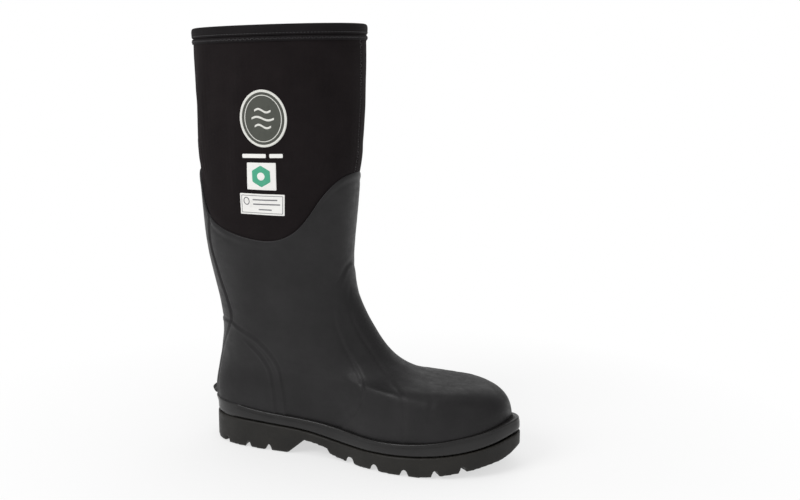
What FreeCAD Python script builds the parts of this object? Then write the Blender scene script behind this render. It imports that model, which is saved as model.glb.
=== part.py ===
import FreeCAD, Part
import math
import os
import sys

# Steel toe work boot, right foot. Millimetres.
# +X towards the toe, +Y towards the inner (medial) side, +Z up, ground at z = 0.
# The outer surface is swept through a family of tilted slices: each slice runs from a
# point B on the back profile to a point F on the front profile, and is rounded at both
# ends. Every layer of the boot is an offset of that one surface.
os.makedirs("parts", exist_ok=True)
Vec = FreeCAD.Vector

# ------------------------------------------------------------------ driving dimensions
RUBBER_T = 1.8            # rubber shell thickness
OVERLAY_T = 0.9           # rubber overlays on the shell
NEOPRENE_T = 4.4          # bootie foam thickness
LINING_T = 0.8            # mesh lining thickness
FOOT_LINING_T = 2.2       # padded mesh lining round the foot
GAP = 0.12                # assembly gap between layers
STEEL_CAP_T = 1.8         # toe cap wall
STIFFENER_T = 1.2         # heel stiffener wall
PLATE_T = 1.0             # puncture resistant plate
SHANK_T = 1.6             # steel shank
BOARD_T = 2.0             # insole board
MIDSOLE_T = 5.2           # foam midsole
FOOTBED_T = 5.0           # footbed foam
COVER_T = 0.8             # footbed top cover
BINDING_H = 9.5           # rolled collar binding height
TAPE_H = 5.0              # second collar tape height
CAP_BACK_X = 243.0        # rear edge of the steel toe cap
ANKLE_LOW_Z = 98.0        # lower edge of the ankle flex section
ANKLE_HI_BACK = (6.0, 149.0)      # upper edge of the ankle flex section, at the back
ANKLE_HI_FRONT = (146.0, 168.7)   # and at the front
GROOVE_DEPTH = 5.5        # tread depth

# back and front profile of the slices, blend to the leg section, leg half width, scale
# of the foot width, and the rounding of the front and back ends
#  v    Bx    Bz    Fx    Fz   beta  w0   scl    RF   pF   RB   pB
K = [
 (-3., 15.0,  15, 281.0,   7, 0.00, 44, 0.82,  57, 2.2, 36, 2.2),
 (-2., 10.0,  21, 290.5,  14, 0.00, 44, 0.90,  60, 2.2, 36, 2.2),
 (-1.,  6.0,  26, 298.5,  20, 0.00, 44, 0.97,  63, 2.15, 36, 2.2),
 (0.0,  3.5,  34, 302.0,  30, 0.00, 44, 1.00,  64, 2.15, 36, 2.2),
 (1.0,  1.6,  43, 303.2,  42, 0.00, 44, 1.01,  64, 2.15, 36, 2.2),
 (2.0,  0.8,  52, 302.0,  54, 0.00, 44, 1.00,  65, 2.15, 36, 2.2),
 (3.0,  1.4,  60, 296.5,  65, 0.00, 44, 0.98,  67, 2.15, 36, 2.2),
 (4.0,  2.5,  67, 284.0,  73, 0.00, 44, 0.95,  72, 2.10, 36, 2.2),
 (5.0,  3.6,  73, 264.5,  75.5, 0.03, 44, 0.92,  80, 2.05, 37, 2.2),
 (6.0,  4.9,  80, 236.5,  76.8, 0.10, 44, 0.89,  88, 2.00, 38, 2.2),
 (7.0,  6.5,  88, 208.5,  83.5, 0.25, 44, 0.88,  92, 2.00, 40, 2.1),
 (8.0,  8.4, 97.5, 185.0,  98.5, 0.45, 44, 0.89,  90, 2.00, 44, 2.1),
 (9.0, 10.0, 107.7, 168.7, 118.5, 0.68, 44, 0.90,  84, 2.00, 50, 2.1),
 (10., 10.6, 119.7, 157.8, 136.5, 0.86, 44, 0.90,  78, 2.00, 56, 2.1),
 (11.,  9.2, 133, 150.4, 152.0, 0.97, 44, 0.90,  72, 2.05, 60, 2.1),
 (12.,  6.0, 149, 146.2, 168.7, 1.00, 44.5, 0.9,  66, 2.10, 62, 2.1),
 (13.,  0.4, 170, 145.0, 190.2, 1.00, 46, 0.9,   65, 2.10, 65, 2.1),
 (14., -5.4, 199.5, 146.8, 217.7, 1.00, 48.5, 0.9,  67, 2.10, 67, 2.1),
 (15., -9.2, 238.5, 149.8, 251.3, 1.00, 51.5, 0.9,  71, 2.10, 71, 2.1),
 (16., -11.3, 284.5, 152.5, 292.3, 1.00, 54.5, 0.9,  76, 2.10, 76, 2.1),
 (17., -12.6, 335, 155.4, 338.4, 1.00, 57, 0.9,   81, 2.10, 81, 2.1),
 (18., -14.2, 385, 157.2, 388.5, 1.00, 58.5, 0.9,  85, 2.10, 85, 2.1),
 (19., -15.0, 405, 157.6, 409.5, 1.00, 59, 0.9,   86, 2.10, 86, 2.1),
 (20., -15.8, 425, 158.0, 430.5, 1.00, 59.4, 0.9,  86.5, 2.10, 86.5, 2.1),
]
# plan of the foot: half widths to the lateral and medial side of a centre line
FX = [0, 30, 60, 90, 120, 150, 180, 210, 240, 270, 300, 330]
WL = [32, 32.5, 34.5, 35, 34, 37.8, 48.3, 54.5, 54.5, 51, 48, 48]
WM = [32, 32.5, 33, 29.5, 27, 32.2, 42.2, 49.5, 51.5, 49, 45.5, 44]
YC = [0, 0, 0, 0, 0, 0.3, 0.8, 1.5, 2.5, 3.8, 5.0, 6]
# outsole plan
OL = [(0, 0), (1.5, -9), (6, -18.5), (13, -26), (24, -32), (40, -36.8), (60, -38.8), (80, -39.6), (98, -39.3), (116, -38.6),
      (135, -39.6), (153, -43.4), (170, -49), (185, -53.8), (200, -57), (215, -58.4), (230, -58), (245, -55.8), (260, -51.5),
      (275, -44.4), (289, -35), (300, -23.8), (308.5, -10), (313, 4)]
OM = [(0, 0), (1.5, 9), (6, 18.5), (13, 26), (24, 32), (40, 36.4), (60, 37.6), (80, 36.6), (100, 34.6), (120, 34.6),
      (140, 37.5), (160, 43), (180, 49.4), (200, 54.4), (220, 57), (240, 57.4), (260, 54.5), (275, 49.4), (289, 40.6), (300, 30),
      (309, 17.2), (313, 4)]
# side line between outsole and foxing, and the foxing's top line (x, z)
GROOVE = [(-8, 27.6), (15, 27.5), (50, 27), (70, 26.2), (93, 25), (116, 22.3), (135, 19), (150, 17.2), (170, 16.2), (190, 16.5),
          (215, 17.4), (240, 18.9), (262, 21.3), (284, 25.2), (299, 29.4), (310, 33.5), (322, 38)]
FOX_TOP = [(-8, 44), (16, 43), (39, 40.8), (60, 38.4), (81, 37), (102, 35.6), (126, 33.2), (150, 30.4), (172, 28.8), (198, 28.8),
           (225, 30.4), (250, 33.4), (272, 37.5), (295, 43.5), (306, 48.6), (322, 55.5)]
BOTTOM = [(-8, 16), (-1.5, 13), (0.5, 7), (3.5, 3.2), (9, 1.1), (16, 0.25), (22, 0), (93, 0), (109.5, 14.1), (122, 11.9), (134.5, 9.3), (137, 4.6),
          (146, 2.3), (157, 0.8), (168, 0), (236, 0), (246, 0.9), (256, 2.5), (268, 4.6), (280, 6.9), (293, 10.4), (302, 12.8), (308, 16.4), (313.5, 22.5), (330, 30)]
# topline of the rubber leg shell (x, z)
TOPLINE = [(-40, 275), (-12, 272), (-2, 262), (3, 246), (8, 234), (14, 226), (22, 220.7), (34, 216), (50, 211.6), (64, 209), (74, 208), (84, 208.4), (92, 210.2),
           (100, 213.6), (108, 219), (115, 226.5), (122, 236.5), (128, 246), (134, 254.5), (140, 262), (146, 268), (152, 271.6), (160, 273), (190, 273)]
ANKLE_PIVOT = (62.0, 118.0)


# ------------------------------------------------------------------ numeric helpers
def spline(xs, ys):
    n = len(xs)
    h = [xs[i + 1] - xs[i] for i in range(n - 1)]
    a = [0.0] * n
    b = [1.0] * n
    c = [0.0] * n
    r = [0.0] * n
    for i in range(1, n - 1):
        a[i] = h[i - 1]
        b[i] = 2 * (h[i - 1] + h[i])
        c[i] = h[i]
        r[i] = 6 * ((ys[i + 1] - ys[i]) / h[i] - (ys[i] - ys[i - 1]) / h[i - 1])
    for i in range(1, n):
        w = a[i] / b[i - 1]
        b[i] -= w * c[i - 1]
        r[i] -= w * r[i - 1]
    m = [0.0] * n
    m[-1] = r[-1] / b[-1]
    for i in range(n - 2, -1, -1):
        m[i] = (r[i] - c[i] * m[i + 1]) / b[i]

    def f(x):
        x = max(xs[0], min(xs[-1], x))
        lo, hi = 0, n - 1
        while hi - lo > 1:
            k = (lo + hi) // 2
            if xs[k] <= x:
                lo = k
            else:
                hi = k
        g = h[lo]
        p = (xs[hi] - x) / g
        q = (x - xs[lo]) / g
        return p * ys[lo] + q * ys[hi] + ((p ** 3 - p) * m[lo] + (q ** 3 - q) * m[hi]) * g * g / 6
    return f


def cap(t, p):
    if t >= 1:
        return 1.0
    if t <= 0:
        return 0.0
    return (1 - (1 - t) ** p) ** (1.0 / p)


def smooth(a, b, x):
    t = max(0.0, min(1.0, (x - a) / (b - a)))
    return t * t * (3 - 2 * t)


F_WL, F_WM, F_YC = spline(FX, WL), spline(FX, WM), spline(FX, YC)
F_K = [spline([k[0] for k in K], [k[i] for k in K]) for i in range(1, 12)]
NT = 20


def ring(v):
    bx, bz, fx, fz, beta, w0, scl, rf, pf, rb, pb = [f(v) for f in F_K]
    length = math.hypot(fx - bx, fz - bz)
    lat, med = [], []
    for i in range(NT + 1):
        t = 0.5 - 0.5 * math.cos(math.pi * i / NT)
        s = t * length
        x = bx + (fx - bx) * t
        z = bz + (fz - bz) * t
        c = cap((length - s) / min(rf, length * .62), pf) * cap(s / min(rb, length * .5), pb)
        wl = (F_WL(x) * scl) * (1 - beta) + w0 * beta
        wm = (F_WM(x) * scl) * (1 - beta) + w0 * beta
        yc = F_YC(x) * (1 - beta)
        lat.append(Vec(x, yc - wl * c, z))
        med.append(Vec(x, yc + wm * c, z))
    return lat + med[-2:0:-1]


def ring_in(v, d):
    # the slice at v moved inwards by d (a number or a function of x, z) along the surface normal
    p = ring(v)
    va, vb = max(-3.0, v - 0.08), min(20.0, v + 0.08)
    pa, pb_ = ring(va), ring(vb)
    n = len(p)
    out = []
    for i in range(n):
        dt = p[(i + 1) % n] - p[i - 1]
        dv = pb_[i] - pa[i]
        nrm = dt.cross(dv)
        nrm.normalize()
        q = d(p[i].x, p[i].z) if callable(d) else d
        out.append(p[i] - nrm * q)
    if v <= -3 or v >= 20:
        # the two end slices stay flat, so that they close with a plane face
        bx, bz, fx, fz = [f(v) for f in F_K[:4]]
        m = Vec(-(fz - bz), 0, fx - bx)
        m.normalize()
        o = Vec(bx, 0, bz)
        out = [q - m * (q - o).dot(m) for q in out]
    return out


# slices are spaced evenly along the longer of the two profiles
SLICE_STEP = 12.0
VS = [-3.0]
_v = -3.0
_last = [f(-3.0) for f in F_K[:4]]
while _v < 20.0 - 1e-6:
    _v = min(20.0, _v + 0.01)
    _now = [f(_v) for f in F_K[:4]]
    if max(math.hypot(_now[0] - _last[0], _now[1] - _last[1]), math.hypot(_now[2] - _last[2], _now[3] - _last[3])) >= SLICE_STEP:
        VS.append(round(_v, 3))
        _last = _now
if 20.0 - VS[-1] < 0.25:
    VS.pop()
VS.append(20.0)
_cache = {}


def env(d, key=None):
    key = key or d
    if key in _cache:
        return _cache[key]
    wires = []
    for v in VS:
        pts = ring_in(v, d)
        c = Part.BSplineCurve()
        c.interpolate(Points=pts, PeriodicFlag=True, Parameters=[float(i) for i in range(len(pts) + 1)])
        wires.append(Part.Wire([c.toShape()]))
    s = Part.makeLoft(wires, True, True)
    if s.ShapeType != "Solid":
        s = s.Solids[0] if s.Solids else Part.makeSolid(s.Shells[0])
    if s.Volume < 0:
        s.reverse()
    print("layer", key, s.isValid(), round(s.Volume))
    sys.stdout.flush()
    _cache[key] = s
    return s


# ------------------------------------------------------------------ solid helpers
def poly_face_xz(pts):
    w = Part.makePolygon([Vec(x, 0, z) for x, z in pts] + [Vec(pts[0][0], 0, pts[0][1])])
    return Part.Face(w)


def prism_xz(pts, y0, y1):
    f = poly_face_xz(pts)
    f.translate(Vec(0, y0, 0))
    return f.extrude(Vec(0, y1 - y0, 0))


def prism_xy(pts, z0, z1):
    w = Part.makePolygon([Vec(x, y, z0) for x, y in pts] + [Vec(pts[0][0], pts[0][1], z0)])
    return Part.Face(w).extrude(Vec(0, 0, z1 - z0))


def plan_prism(inset, z0, z1):
    pts = OL[1:-1] + [OL[-1]] + OM[-2:0:-1] + [OM[0]]
    # outline as a closed smooth curve, moved inwards by inset
    if inset:
        n = len(pts)
        moved = []
        for i in range(n):
            tx, ty = pts[(i + 1) % n][0] - pts[i - 1][0], pts[(i + 1) % n][1] - pts[i - 1][1]
            l = math.hypot(tx, ty)
            moved.append((pts[i][0] - ty / l * inset, pts[i][1] + tx / l * inset))
        pts = moved
    c = Part.BSplineCurve()
    c.interpolate(Points=[Vec(x, y, z0) for x, y in pts], PeriodicFlag=True)
    w = Part.Wire([c.toShape()])
    return Part.Face(w).extrude(Vec(0, 0, z1 - z0))


def below(line, z0=-60.0, dz=0.0, y=140.0):
    # region of the XZ plane under a line, extruded across the boot
    pts = [(x, z + dz) for x, z in line]
    return prism_xz(pts + [(pts[-1][0], z0), (pts[0][0], z0)], -y, y)


def above(line, z1=520.0, dz=0.0, y=140.0):
    pts = [(x, z + dz) for x, z in line]
    return prism_xz(pts + [(pts[-1][0], z1), (pts[0][0], z1)], -y, y)


def dense(line, n=6):
    f = spline([p[0] for p in line], [p[1] for p in line])
    out = []
    for i in range(len(line) - 1):
        for k in range(n):
            x = line[i][0] + (line[i + 1][0] - line[i][0]) * k / n
            out.append((x, f(x)))
    out.append(line[-1])
    return out


def band(h0, h1):
    # slab parallel to the foot base plane, between heights h0 and h1 above it
    def zb(x):
        return 21.0 + (14.0 - 21.0) * (x - 10.0) / 283.0
    return prism_xz([(-60, zb(-60) + h0), (360, zb(360) + h0), (360, zb(360) + h1), (-60, zb(-60) + h1)], -140, 140)


def one(shape):
    # the largest solid of a result
    sol = sorted(shape.Solids, key=lambda s: -abs(s.Volume))
    return sol[0]


def all_solids(shape, vmin=0.2):
    sol = [s for s in shape.Solids if abs(s.Volume) > vmin]
    return sol[0] if len(sol) == 1 else Part.makeCompound(sol)


PARTS = {}


def layer(name, outer, inner, region, region_in=None):
    # outer surface solid minus inner surface solid, both first limited to their regions
    a = outer.common(region)
    b = inner.common(region_in if region_in is not None else region)
    want = a.Volume - b.Volume
    r = a.cut(b)
    if not r.Solids or abs(r.Volume - want) > 0.01 * abs(want) + 5:
        # the same cut with the inner solid left longer, then as two steps
        tries = [r]
        wide = region_in if region_in is not None else None
        if wide is not None:
            up = region_in.copy()
            up.translate(Vec(0.0, 0.0, 0.013))
            tries.append(a.cut(inner.common(up)))
            big = inner.cut(prism_xz([(-100, -100), (420, -100), (420, -90), (-100, -90)], -1, 1))
            tries.append(outer.common(BASE).cut(big.common(up)).common(region))
        else:
            tries.append(a.cut(inner))
        good = [t for t in tries if t.Solids and t.isValid()]
        good.sort(key=lambda t: abs(t.Volume - want))
        print("  retry", name, "want", round(want), "got", [round(t.Volume) for t in tries])
        r = good[0] if good else r
    return r


def put(name, shape, multi=False):
    shape = all_solids(shape) if multi else one(shape)
    PARTS[name] = shape
    bb = shape.BoundBox
    print("%-22s n=%d vol=%9.1f valid=%s x %.1f..%.1f y %.1f..%.1f z %.1f..%.1f" % (
        name, len(shape.Solids), shape.Volume, shape.isValid(), bb.XMin, bb.XMax, bb.YMin, bb.YMax, bb.ZMin, bb.ZMax))
    sys.stdout.flush()


# ------------------------------------------------------------------ layer offsets
def d_bootie(x, z):
    # the bootie makes room for the toe cap and for the heel stiffener
    toe = smooth(194, 231, x) * (1 - smooth(100, 120, z))
    heel = (1 - smooth(80, 110, x)) * (1 - smooth(86, 97, z))
    return RUBBER_T + GAP + 0.06 + (STEEL_CAP_T + GAP) * toe + (STIFFENER_T + GAP) * heel


def d_bootie_in(x, z):
    return d_bootie(x, z) + NEOPRENE_T


def d_lining(x, z):
    return d_bootie(x, z) + NEOPRENE_T + GAP


def d_lining_in(x, z):
    return d_bootie(x, z) + NEOPRENE_T + GAP + LINING_T


def d_lining_foot_in(x, z):
    # the foot lining is padded
    return d_bootie(x, z) + NEOPRENE_T + GAP + FOOT_LINING_T


def d_footbed(x, z):
    return d_lining_foot_in(x, z) + 1.6


E0 = env(0.0)
E_RI = env(RUBBER_T)
E_B = env(d_bootie, "bootie")
E_BI = env(d_bootie_in, "bootie_in")
E_L = env(d_lining, "lining")
E_LI = env(d_lining_in, "lining_in")

ZB = {"plate": 0.3}
H_PLATE = (0.3, 0.3 + PLATE_T)
H_MID = (H_PLATE[1] + GAP, H_PLATE[1] + GAP + MIDSOLE_T)
H_BOARD = (H_MID[1] + GAP, H_MID[1] + GAP + BOARD_T)
H_CAP = H_BOARD[1] + GAP
H_BOOT = H_CAP + STEEL_CAP_T + GAP
H_LIN = H_BOOT + NEOPRENE_T + GAP
H_FOOTBED = (H_LIN + LINING_T + 0.25, H_LIN + LINING_T + 0.25 + FOOTBED_T)
H_COVER = (H_FOOTBED[1] + 0.08, H_FOOTBED[1] + 0.08 + COVER_T)

BASE = band(0.0, 600)
low_ankle = [(-80, ANKLE_LOW_Z), (400, ANKLE_LOW_Z)]
k_hi = (ANKLE_HI_FRONT[1] - ANKLE_HI_BACK[1]) / (ANKLE_HI_FRONT[0] - ANKLE_HI_BACK[0])
hi_ankle = [(-80, ANKLE_HI_BACK[1] + k_hi * (-80 - ANKLE_HI_BACK[0])), (400, ANKLE_HI_BACK[1] + k_hi * (400 - ANKLE_HI_BACK[0]))]
# top of the bootie: a plane through the collar
top_line = [(-60, 403.4 - 0.9), (200, 403.4 - 0.9 + 0.026 * 260)]
TOPD = dense(TOPLINE, 4)

IN_FOOT = below(low_ankle, dz=-GAP / 2)
IN_ANKLE = above(low_ankle, dz=GAP / 2).common(below(hi_ankle, dz=-GAP / 2))
IN_LEG = above(hi_ankle, dz=GAP / 2)

# ------------------------------------------------------------------ rubber shell
FOOT_R = IN_FOOT.common(BASE)
put("foot_shell", layer("foot_shell", E0, E_RI, FOOT_R))
put("ankle_shell", layer("ankle_shell", E0, E_RI, IN_ANKLE))
LEG_R = IN_LEG.common(below(TOPD))
put("leg_shell", layer("leg_shell", E0, E_RI, LEG_R))

# ------------------------------------------------------------------ overlays on the shell
E_OV = env(-OVERLAY_T)
E_SK = env(-0.04)
ov_base = above(dense(FOX_TOP, 3), dz=0.35)
counter = [(-30, 20), (82.6, 20), (82.6, 40), (81.5, 48), (79, 58), (77, 66), (75.4, 76), (74, 86), (71, 97), (66.5, 105), (59, 112), (48, 116.5), (36, 118.5), (-30, 120)]
put("heel_counter_overlay", layer("counter", E_OV, E_SK, prism_xz(counter, -140, 140).common(ov_base)))
ach = [(-60, 120.6), (36, 119.1), (33.2, 124), (34, 131), (31.6, 139), (25.5, 152), (18.5, 166), (11.5, 184), (8, 200), (8.4, 214), (11.5, 226.5), (7, 233.4), (2.2, 246), (-3, 261), (-12, 270.5), (-60, 272)]
put("achilles_overlay", layer("ach", E_OV, E_SK, prism_xz(ach, -140, 140)))
vamp = [(400, 205), (165, 205), (151, 196), (146.5, 186), (142.8, 176), (139.6, 168), (137.6, 158), (138, 146), (140.2, 134), (143, 123), (147.6, 111),
        (154, 99.5), (165, 87.5), (178, 79), (189, 71.5), (195.5, 62), (197, 52), (194, 42), (188, 33), (180, 20), (400, 0)]
put("vamp_overlay", layer("vamp", E_OV, E_SK, prism_xz(vamp, -140, 140).common(ov_base)))

# ------------------------------------------------------------------ neoprene bootie and lining
above_top = above(TOPD, dz=0.35)
put("bootie_foot", layer("bootie_foot", E_B, E_BI, IN_FOOT.common(band(H_BOOT, 600)), IN_FOOT.common(band(H_BOOT + NEOPRENE_T, 600))))
put("bootie_ankle", layer("bootie_ankle", E_B, E_BI, IN_ANKLE))
UNDER_COLLAR = below(top_line)
LEG_TOP = IN_LEG.common(UNDER_COLLAR)
leg_lo = layer("leg_lo", E_B, E_BI, LEG_TOP)
leg_hi = layer("leg_hi", env(0.15), E_B, LEG_TOP.common(above_top))
put("bootie_leg", leg_lo.fuse(leg_hi).removeSplitter())
E_LF = env(d_lining_foot_in, "lining_foot_in")
put("lining_foot", layer("lining_foot", E_L, E_LF, IN_FOOT.common(band(H_LIN, 600)), IN_FOOT.common(band(H_LIN + LINING_T, 600))))
put("lining_ankle", layer("lining_ankle", E_L, E_LI, IN_ANKLE))
put("lining_leg", layer("lining_leg", E_L, E_LI, LEG_TOP))

# ------------------------------------------------------------------ protective and stiffening parts
E_C = env(RUBBER_T + GAP)
E_CI = env(RUBBER_T + GAP + STEEL_CAP_T)
front = prism_xz([(CAP_BACK_X, -20), (400, -20), (400, 200), (CAP_BACK_X, 200)], -140, 140)
E_FL = env(RUBBER_T + GAP + 11.0)
cap_wall = layer("cap_wall", E_C, E_CI, front.common(band(H_CAP + STEEL_CAP_T, 600)))
cap_floor = layer("cap_floor", E_C, E_FL, front.common(band(H_CAP, H_CAP + STEEL_CAP_T)))
put("steel_toe_cap", cap_wall.fuse(cap_floor).removeSplitter())
strip = prism_xz([(CAP_BACK_X - 6.2, -20), (CAP_BACK_X - 0.15, -20), (CAP_BACK_X - 0.15, 200), (CAP_BACK_X - 6.2, 200)], -140, 140)
put("toe_cap_edge_strip", layer("edge", E_C, env(RUBBER_T + GAP + STEEL_CAP_T - 0.25), strip.common(above([(0, 40), (400, 40)]))))
E_S = env(RUBBER_T + GAP + STIFFENER_T)
heel_zone = prism_xz([(-40, 0), (78, 0), (78, 60), (62, 84), (40, 85.5), (-40, 85.5)], -140, 140)
put("heel_stiffener", layer("stiff", E_C, E_S, heel_zone.common(band(H_CAP, 600))))
E_IN = env(RUBBER_T + 0.35)
put("puncture_plate", E_IN.common(band(*H_PLATE)))
shank_pts = [(40, -9), (170, -11), (170, 11), (40, 9)]
shank_plan = prism_xy(shank_pts, 0, 60)
put("steel_shank", shank_plan.common(band(H_MID[1] - SHANK_T, H_MID[1])))
shank_room = prism_xy([(39.8, -9.2), (170.2, -11.2), (170.2, 11.2), (39.8, 9.2)], 0, 60).common(band(H_MID[1] - SHANK_T - 0.1, H_MID[1] + 1))
put("midsole", E_IN.common(band(*H_MID)).cut(shank_room))
put("insole_board", E_IN.common(band(*H_BOARD)))
E_F = env(d_footbed, "footbed")
put("footbed_foam", E_F.common(band(*H_FOOTBED)))
put("footbed_cover", E_F.common(band(*H_COVER)))

# ------------------------------------------------------------------ outsole with tread
G = dense(GROOVE, 3)
FT = dense(FOX_TOP, 3)
plan0 = plan_prism(0.0, -5, 90)
side_region = prism_xz(BOTTOM + [(330, G[-1][1])] + G[::-1] + [(-8, 20)], -100, 100)
outsole = plan0.common(side_region)
E_OUT = env(-0.12)
outsole = outsole.cut(E_OUT.common(band(-0.15, 600)))


def zbot(x):
    for a, b in zip(BOTTOM, BOTTOM[1:]):
        if a[0] <= x <= b[0]:
            return a[1] + (b[1] - a[1]) * (x - a[0]) / (b[0] - a[0])
    return 0.0


def groove_seg(p, q, wb, wt, depth, ext=0.0):
    dx, dy = q[0] - p[0], q[1] - p[1]
    l = math.hypot(dx, dy)
    ux, uy = dx / l, dy / l
    p = (p[0] - ux * ext, p[1] - uy * ext)
    q = (q[0] + ux * ext, q[1] + uy * ext)

    def section(c):
        zb = zbot(c[0])
        nx, ny = -uy, ux
        pts = [Vec(c[0] + nx * wb / 2, c[1] + ny * wb / 2, zb - 1.0), Vec(c[0] - nx * wb / 2, c[1] - ny * wb / 2, zb - 1.0),
               Vec(c[0] - nx * wt / 2, c[1] - ny * wt / 2, zb + depth), Vec(c[0] + nx * wt / 2, c[1] + ny * wt / 2, zb + depth)]
        return Part.makePolygon(pts + [pts[0]])
    return Part.makeLoft([section(p), section(q)], True, True)


cuts = []


def groove_line(pts, wb, wt, depth, ext=0.6):
    for p, q in zip(pts, pts[1:]):
        cuts.append(groove_seg(p, q, wb, wt, depth, ext))


D = GROOVE_DEPTH
# forefoot: oval channel, centre zig-zag, chevrons, radial edge grooves
groove_line([(136, -28.6), (152, -31.5), (177, -34.6), (200, -33.8), (228, -28.3), (252, -19.6), (265, -12), (271.5, -4), (272.8, 5.5), (268, 12),
             (260, 17.5), (244.8, 23.3), (221, 27.7), (199, 29.2), (174, 26.1), (153, 19.3), (138.6, 12.8)], 5.0, 3.4, D, 1.1)
groove_line([(265.5, 6), (244.9, 2.3), (219.3, -0.8), (197.3, -2.4), (179.2, -3), (161.2, -3.7), (146.8, -6.4)], 3.6, 2.4, D - 1)
for a, b in [((245.6, 2.2), (237, -22)), ((218.8, -2.5), (199.8, -31.1)), ((190.8, -2.3), (173.2, -32)), ((163.9, -4.5), (150, -29.5)),
             ((245.5, 3.1), (231.5, 24.5)), ((218.6, 0.2), (197.8, 26.8)), ((188.1, -1.6), (168.6, 22)), ((160.2, -2.8), (147, 15.5))]:
    cuts.append(groove_seg(a, b, 5.2, 3.6, D, 0.5))
for a, b in [((253, -20.5), (273.7, -45.5)), ((232, -28.8), (250.5, -55.5)), ((208, -34.5), (220.7, -58.4)), ((181, -36), (190.5, -56.5)), ((155.5, -33.5), (163, -48.5)),
             ((252.8, 21.6), (265.2, 48.1)), ((223.2, 29), (232.2, 55.9)), ((199.1, 30.5), (200.7, 54.8)), ((173.2, 27), (170.2, 48.5)), ((152, 20), (146, 41))]:
    cuts.append(groove_seg(a, b, 7.6, 3.4, D, 3.0))
# heel: channel, chevrons, edge grooves
groove_line([(84, -16.1), (60.5, -15.8), (41.5, -14.6), (28.5, -9.1), (23.4, 2), (30.1, 12.7), (46.2, 16.3), (67.2, 14.6), (82.7, 13.1)], 4.6, 3.0, D, 1.0)
groove_line([(84, -1.4), (51.9, -0.6), (24.4, 1.2)], 3.2, 2.2, D - 1)
for a, b in [((66, -15.5), (60.1, -1)), ((60.1, -1), (67, 14)), ((47.2, -14.7), (43.6, -0.5)), ((43.6, -0.5), (50, 16))]:
    cuts.append(groove_seg(a, b, 4.0, 2.8, D, 0.3))
for a, b in [((66.5, -17.5), (72.6, -40.5)), ((46.4, -16.6), (49.2, -39)), ((30, -12.8), (21.5, -32)), ((65.2, 15.5), (63.1, 40)), ((46.1, 17), (45.1, 40)), ((31.5, 13.5), (25.4, 38))]:
    cuts.append(groove_seg(a, b, 6.6, 3.0, D, 3.0))
# frame of the centre plate under the waist and the dimples of the toe and heel tips
for a, b in zip([(134, -17), (99, -15), (99, 9.5), (133.6, 7.5)], [(99, -15), (99, 9.5), (133.6, 7.5), (134, -17)]):
    dx, dy = b[0] - a[0], b[1] - a[1]
    l = math.hypot(dx, dy)
    nx, ny = -dy / l * 0.8, dx / l * 0.8
    cuts.append(prism_xy([(a[0] + nx, a[1] + ny), (b[0] + nx, b[1] + ny), (b[0] - nx, b[1] - ny), (a[0] - nx, a[1] - ny)], 0, 60).common(
        prism_xz([(90, 0), (140, 0), (140, 9.6), (134.5, 11), (122, 13.6), (109.5, 15.8), (90, 15.8)], -60, 60)))
for x, y in [(266.5, -26.4), (283.5, -16.0), (289.5, 1.8), (284.5, 19.7), (273.0, 30.7), (18.2, -14.3), (13.4, -3.0), (13.2, 9.0), (18.5, 18.4)]:
    cuts.append(Part.makeCylinder(1.7, 1.8 + 4, Vec(x, y, zbot(x) - 4)))
cutter = cuts[0].multiFuse(cuts[1:])
put("outsole", outsole.cut(cutter))

# ------------------------------------------------------------------ foxing, kick spur
fox = plan_prism(0.6, -5, 90)
fox_region = prism_xz([(x, z + 0.35) for x, z in G] + [(x, z - 0.2) for x, z in FT[::-1]], -100, 100)
put("foxing_strip", fox.common(fox_region).cut(E_OUT.common(prism_xz([(-60, 0), (400, 0), (400, 90), (-60, 90)], -120, 120))))
spur_out = env(-4.6)
spur_r = prism_xz([(-20, 44.9), (14, 44.6), (14, 47.2), (-20, 51.6)], -15.5, 15.5)
put("heel_kick_spur", spur_out.cut(env(-OVERLAY_T - 0.08)).common(spur_r))

# ------------------------------------------------------------------ collar
top_hi = [(-60, top_line[0][1] + 2.4), (200, top_line[1][1] + 2.4)]
E_CO = env(-1.9)
inner = env(lambda x, z: d_bootie(x, z) + NEOPRENE_T + GAP + LINING_T + 1.6, "collar_in")
lo1 = [(x, z - BINDING_H + 2.4) for x, z in top_line]
body = layer("collar", E_CO, inner, below(top_hi).common(above(lo1)))
room_in = env(lambda x, z: d_bootie(x, z) + NEOPRENE_T + GAP + LINING_T + 0.12, "collar_room")
room = layer("room", env(0.0), room_in, below([(x, z + 0.15) for x, z in top_line]).common(above([(x, z - 6) for x, z in lo1])))
binding = body.cut(room)
put("collar_binding", binding)
lo2 = [(x, z - TAPE_H) for x, z in lo1]
put("collar_tape", layer("tape", env(-1.2), env(-0.02), below([(x, z - 0.3) for x, z in lo1]).common(above(lo2))))

# ------------------------------------------------------------------ badge and labels on the lateral side
E_LB = env(0.05)
E_LT = env(-0.65)
E_LT2 = env(-1.05)
lat = -20.0


def patch(pts, outer, inn, holes=None):
    s = outer.cut(inn).common(prism_xz(pts, -110, lat))
    for h in holes or []:
        s = s.cut(prism_xz(h, -110, lat))
    return s


def scaled(pts, k):
    cx = sum(p[0] for p in pts) / len(pts)
    cz = sum(p[1] for p in pts) / len(pts)
    return [(cx + (p[0] - cx) * k, cz + (p[1] - cz) * k) for p in pts]


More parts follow.
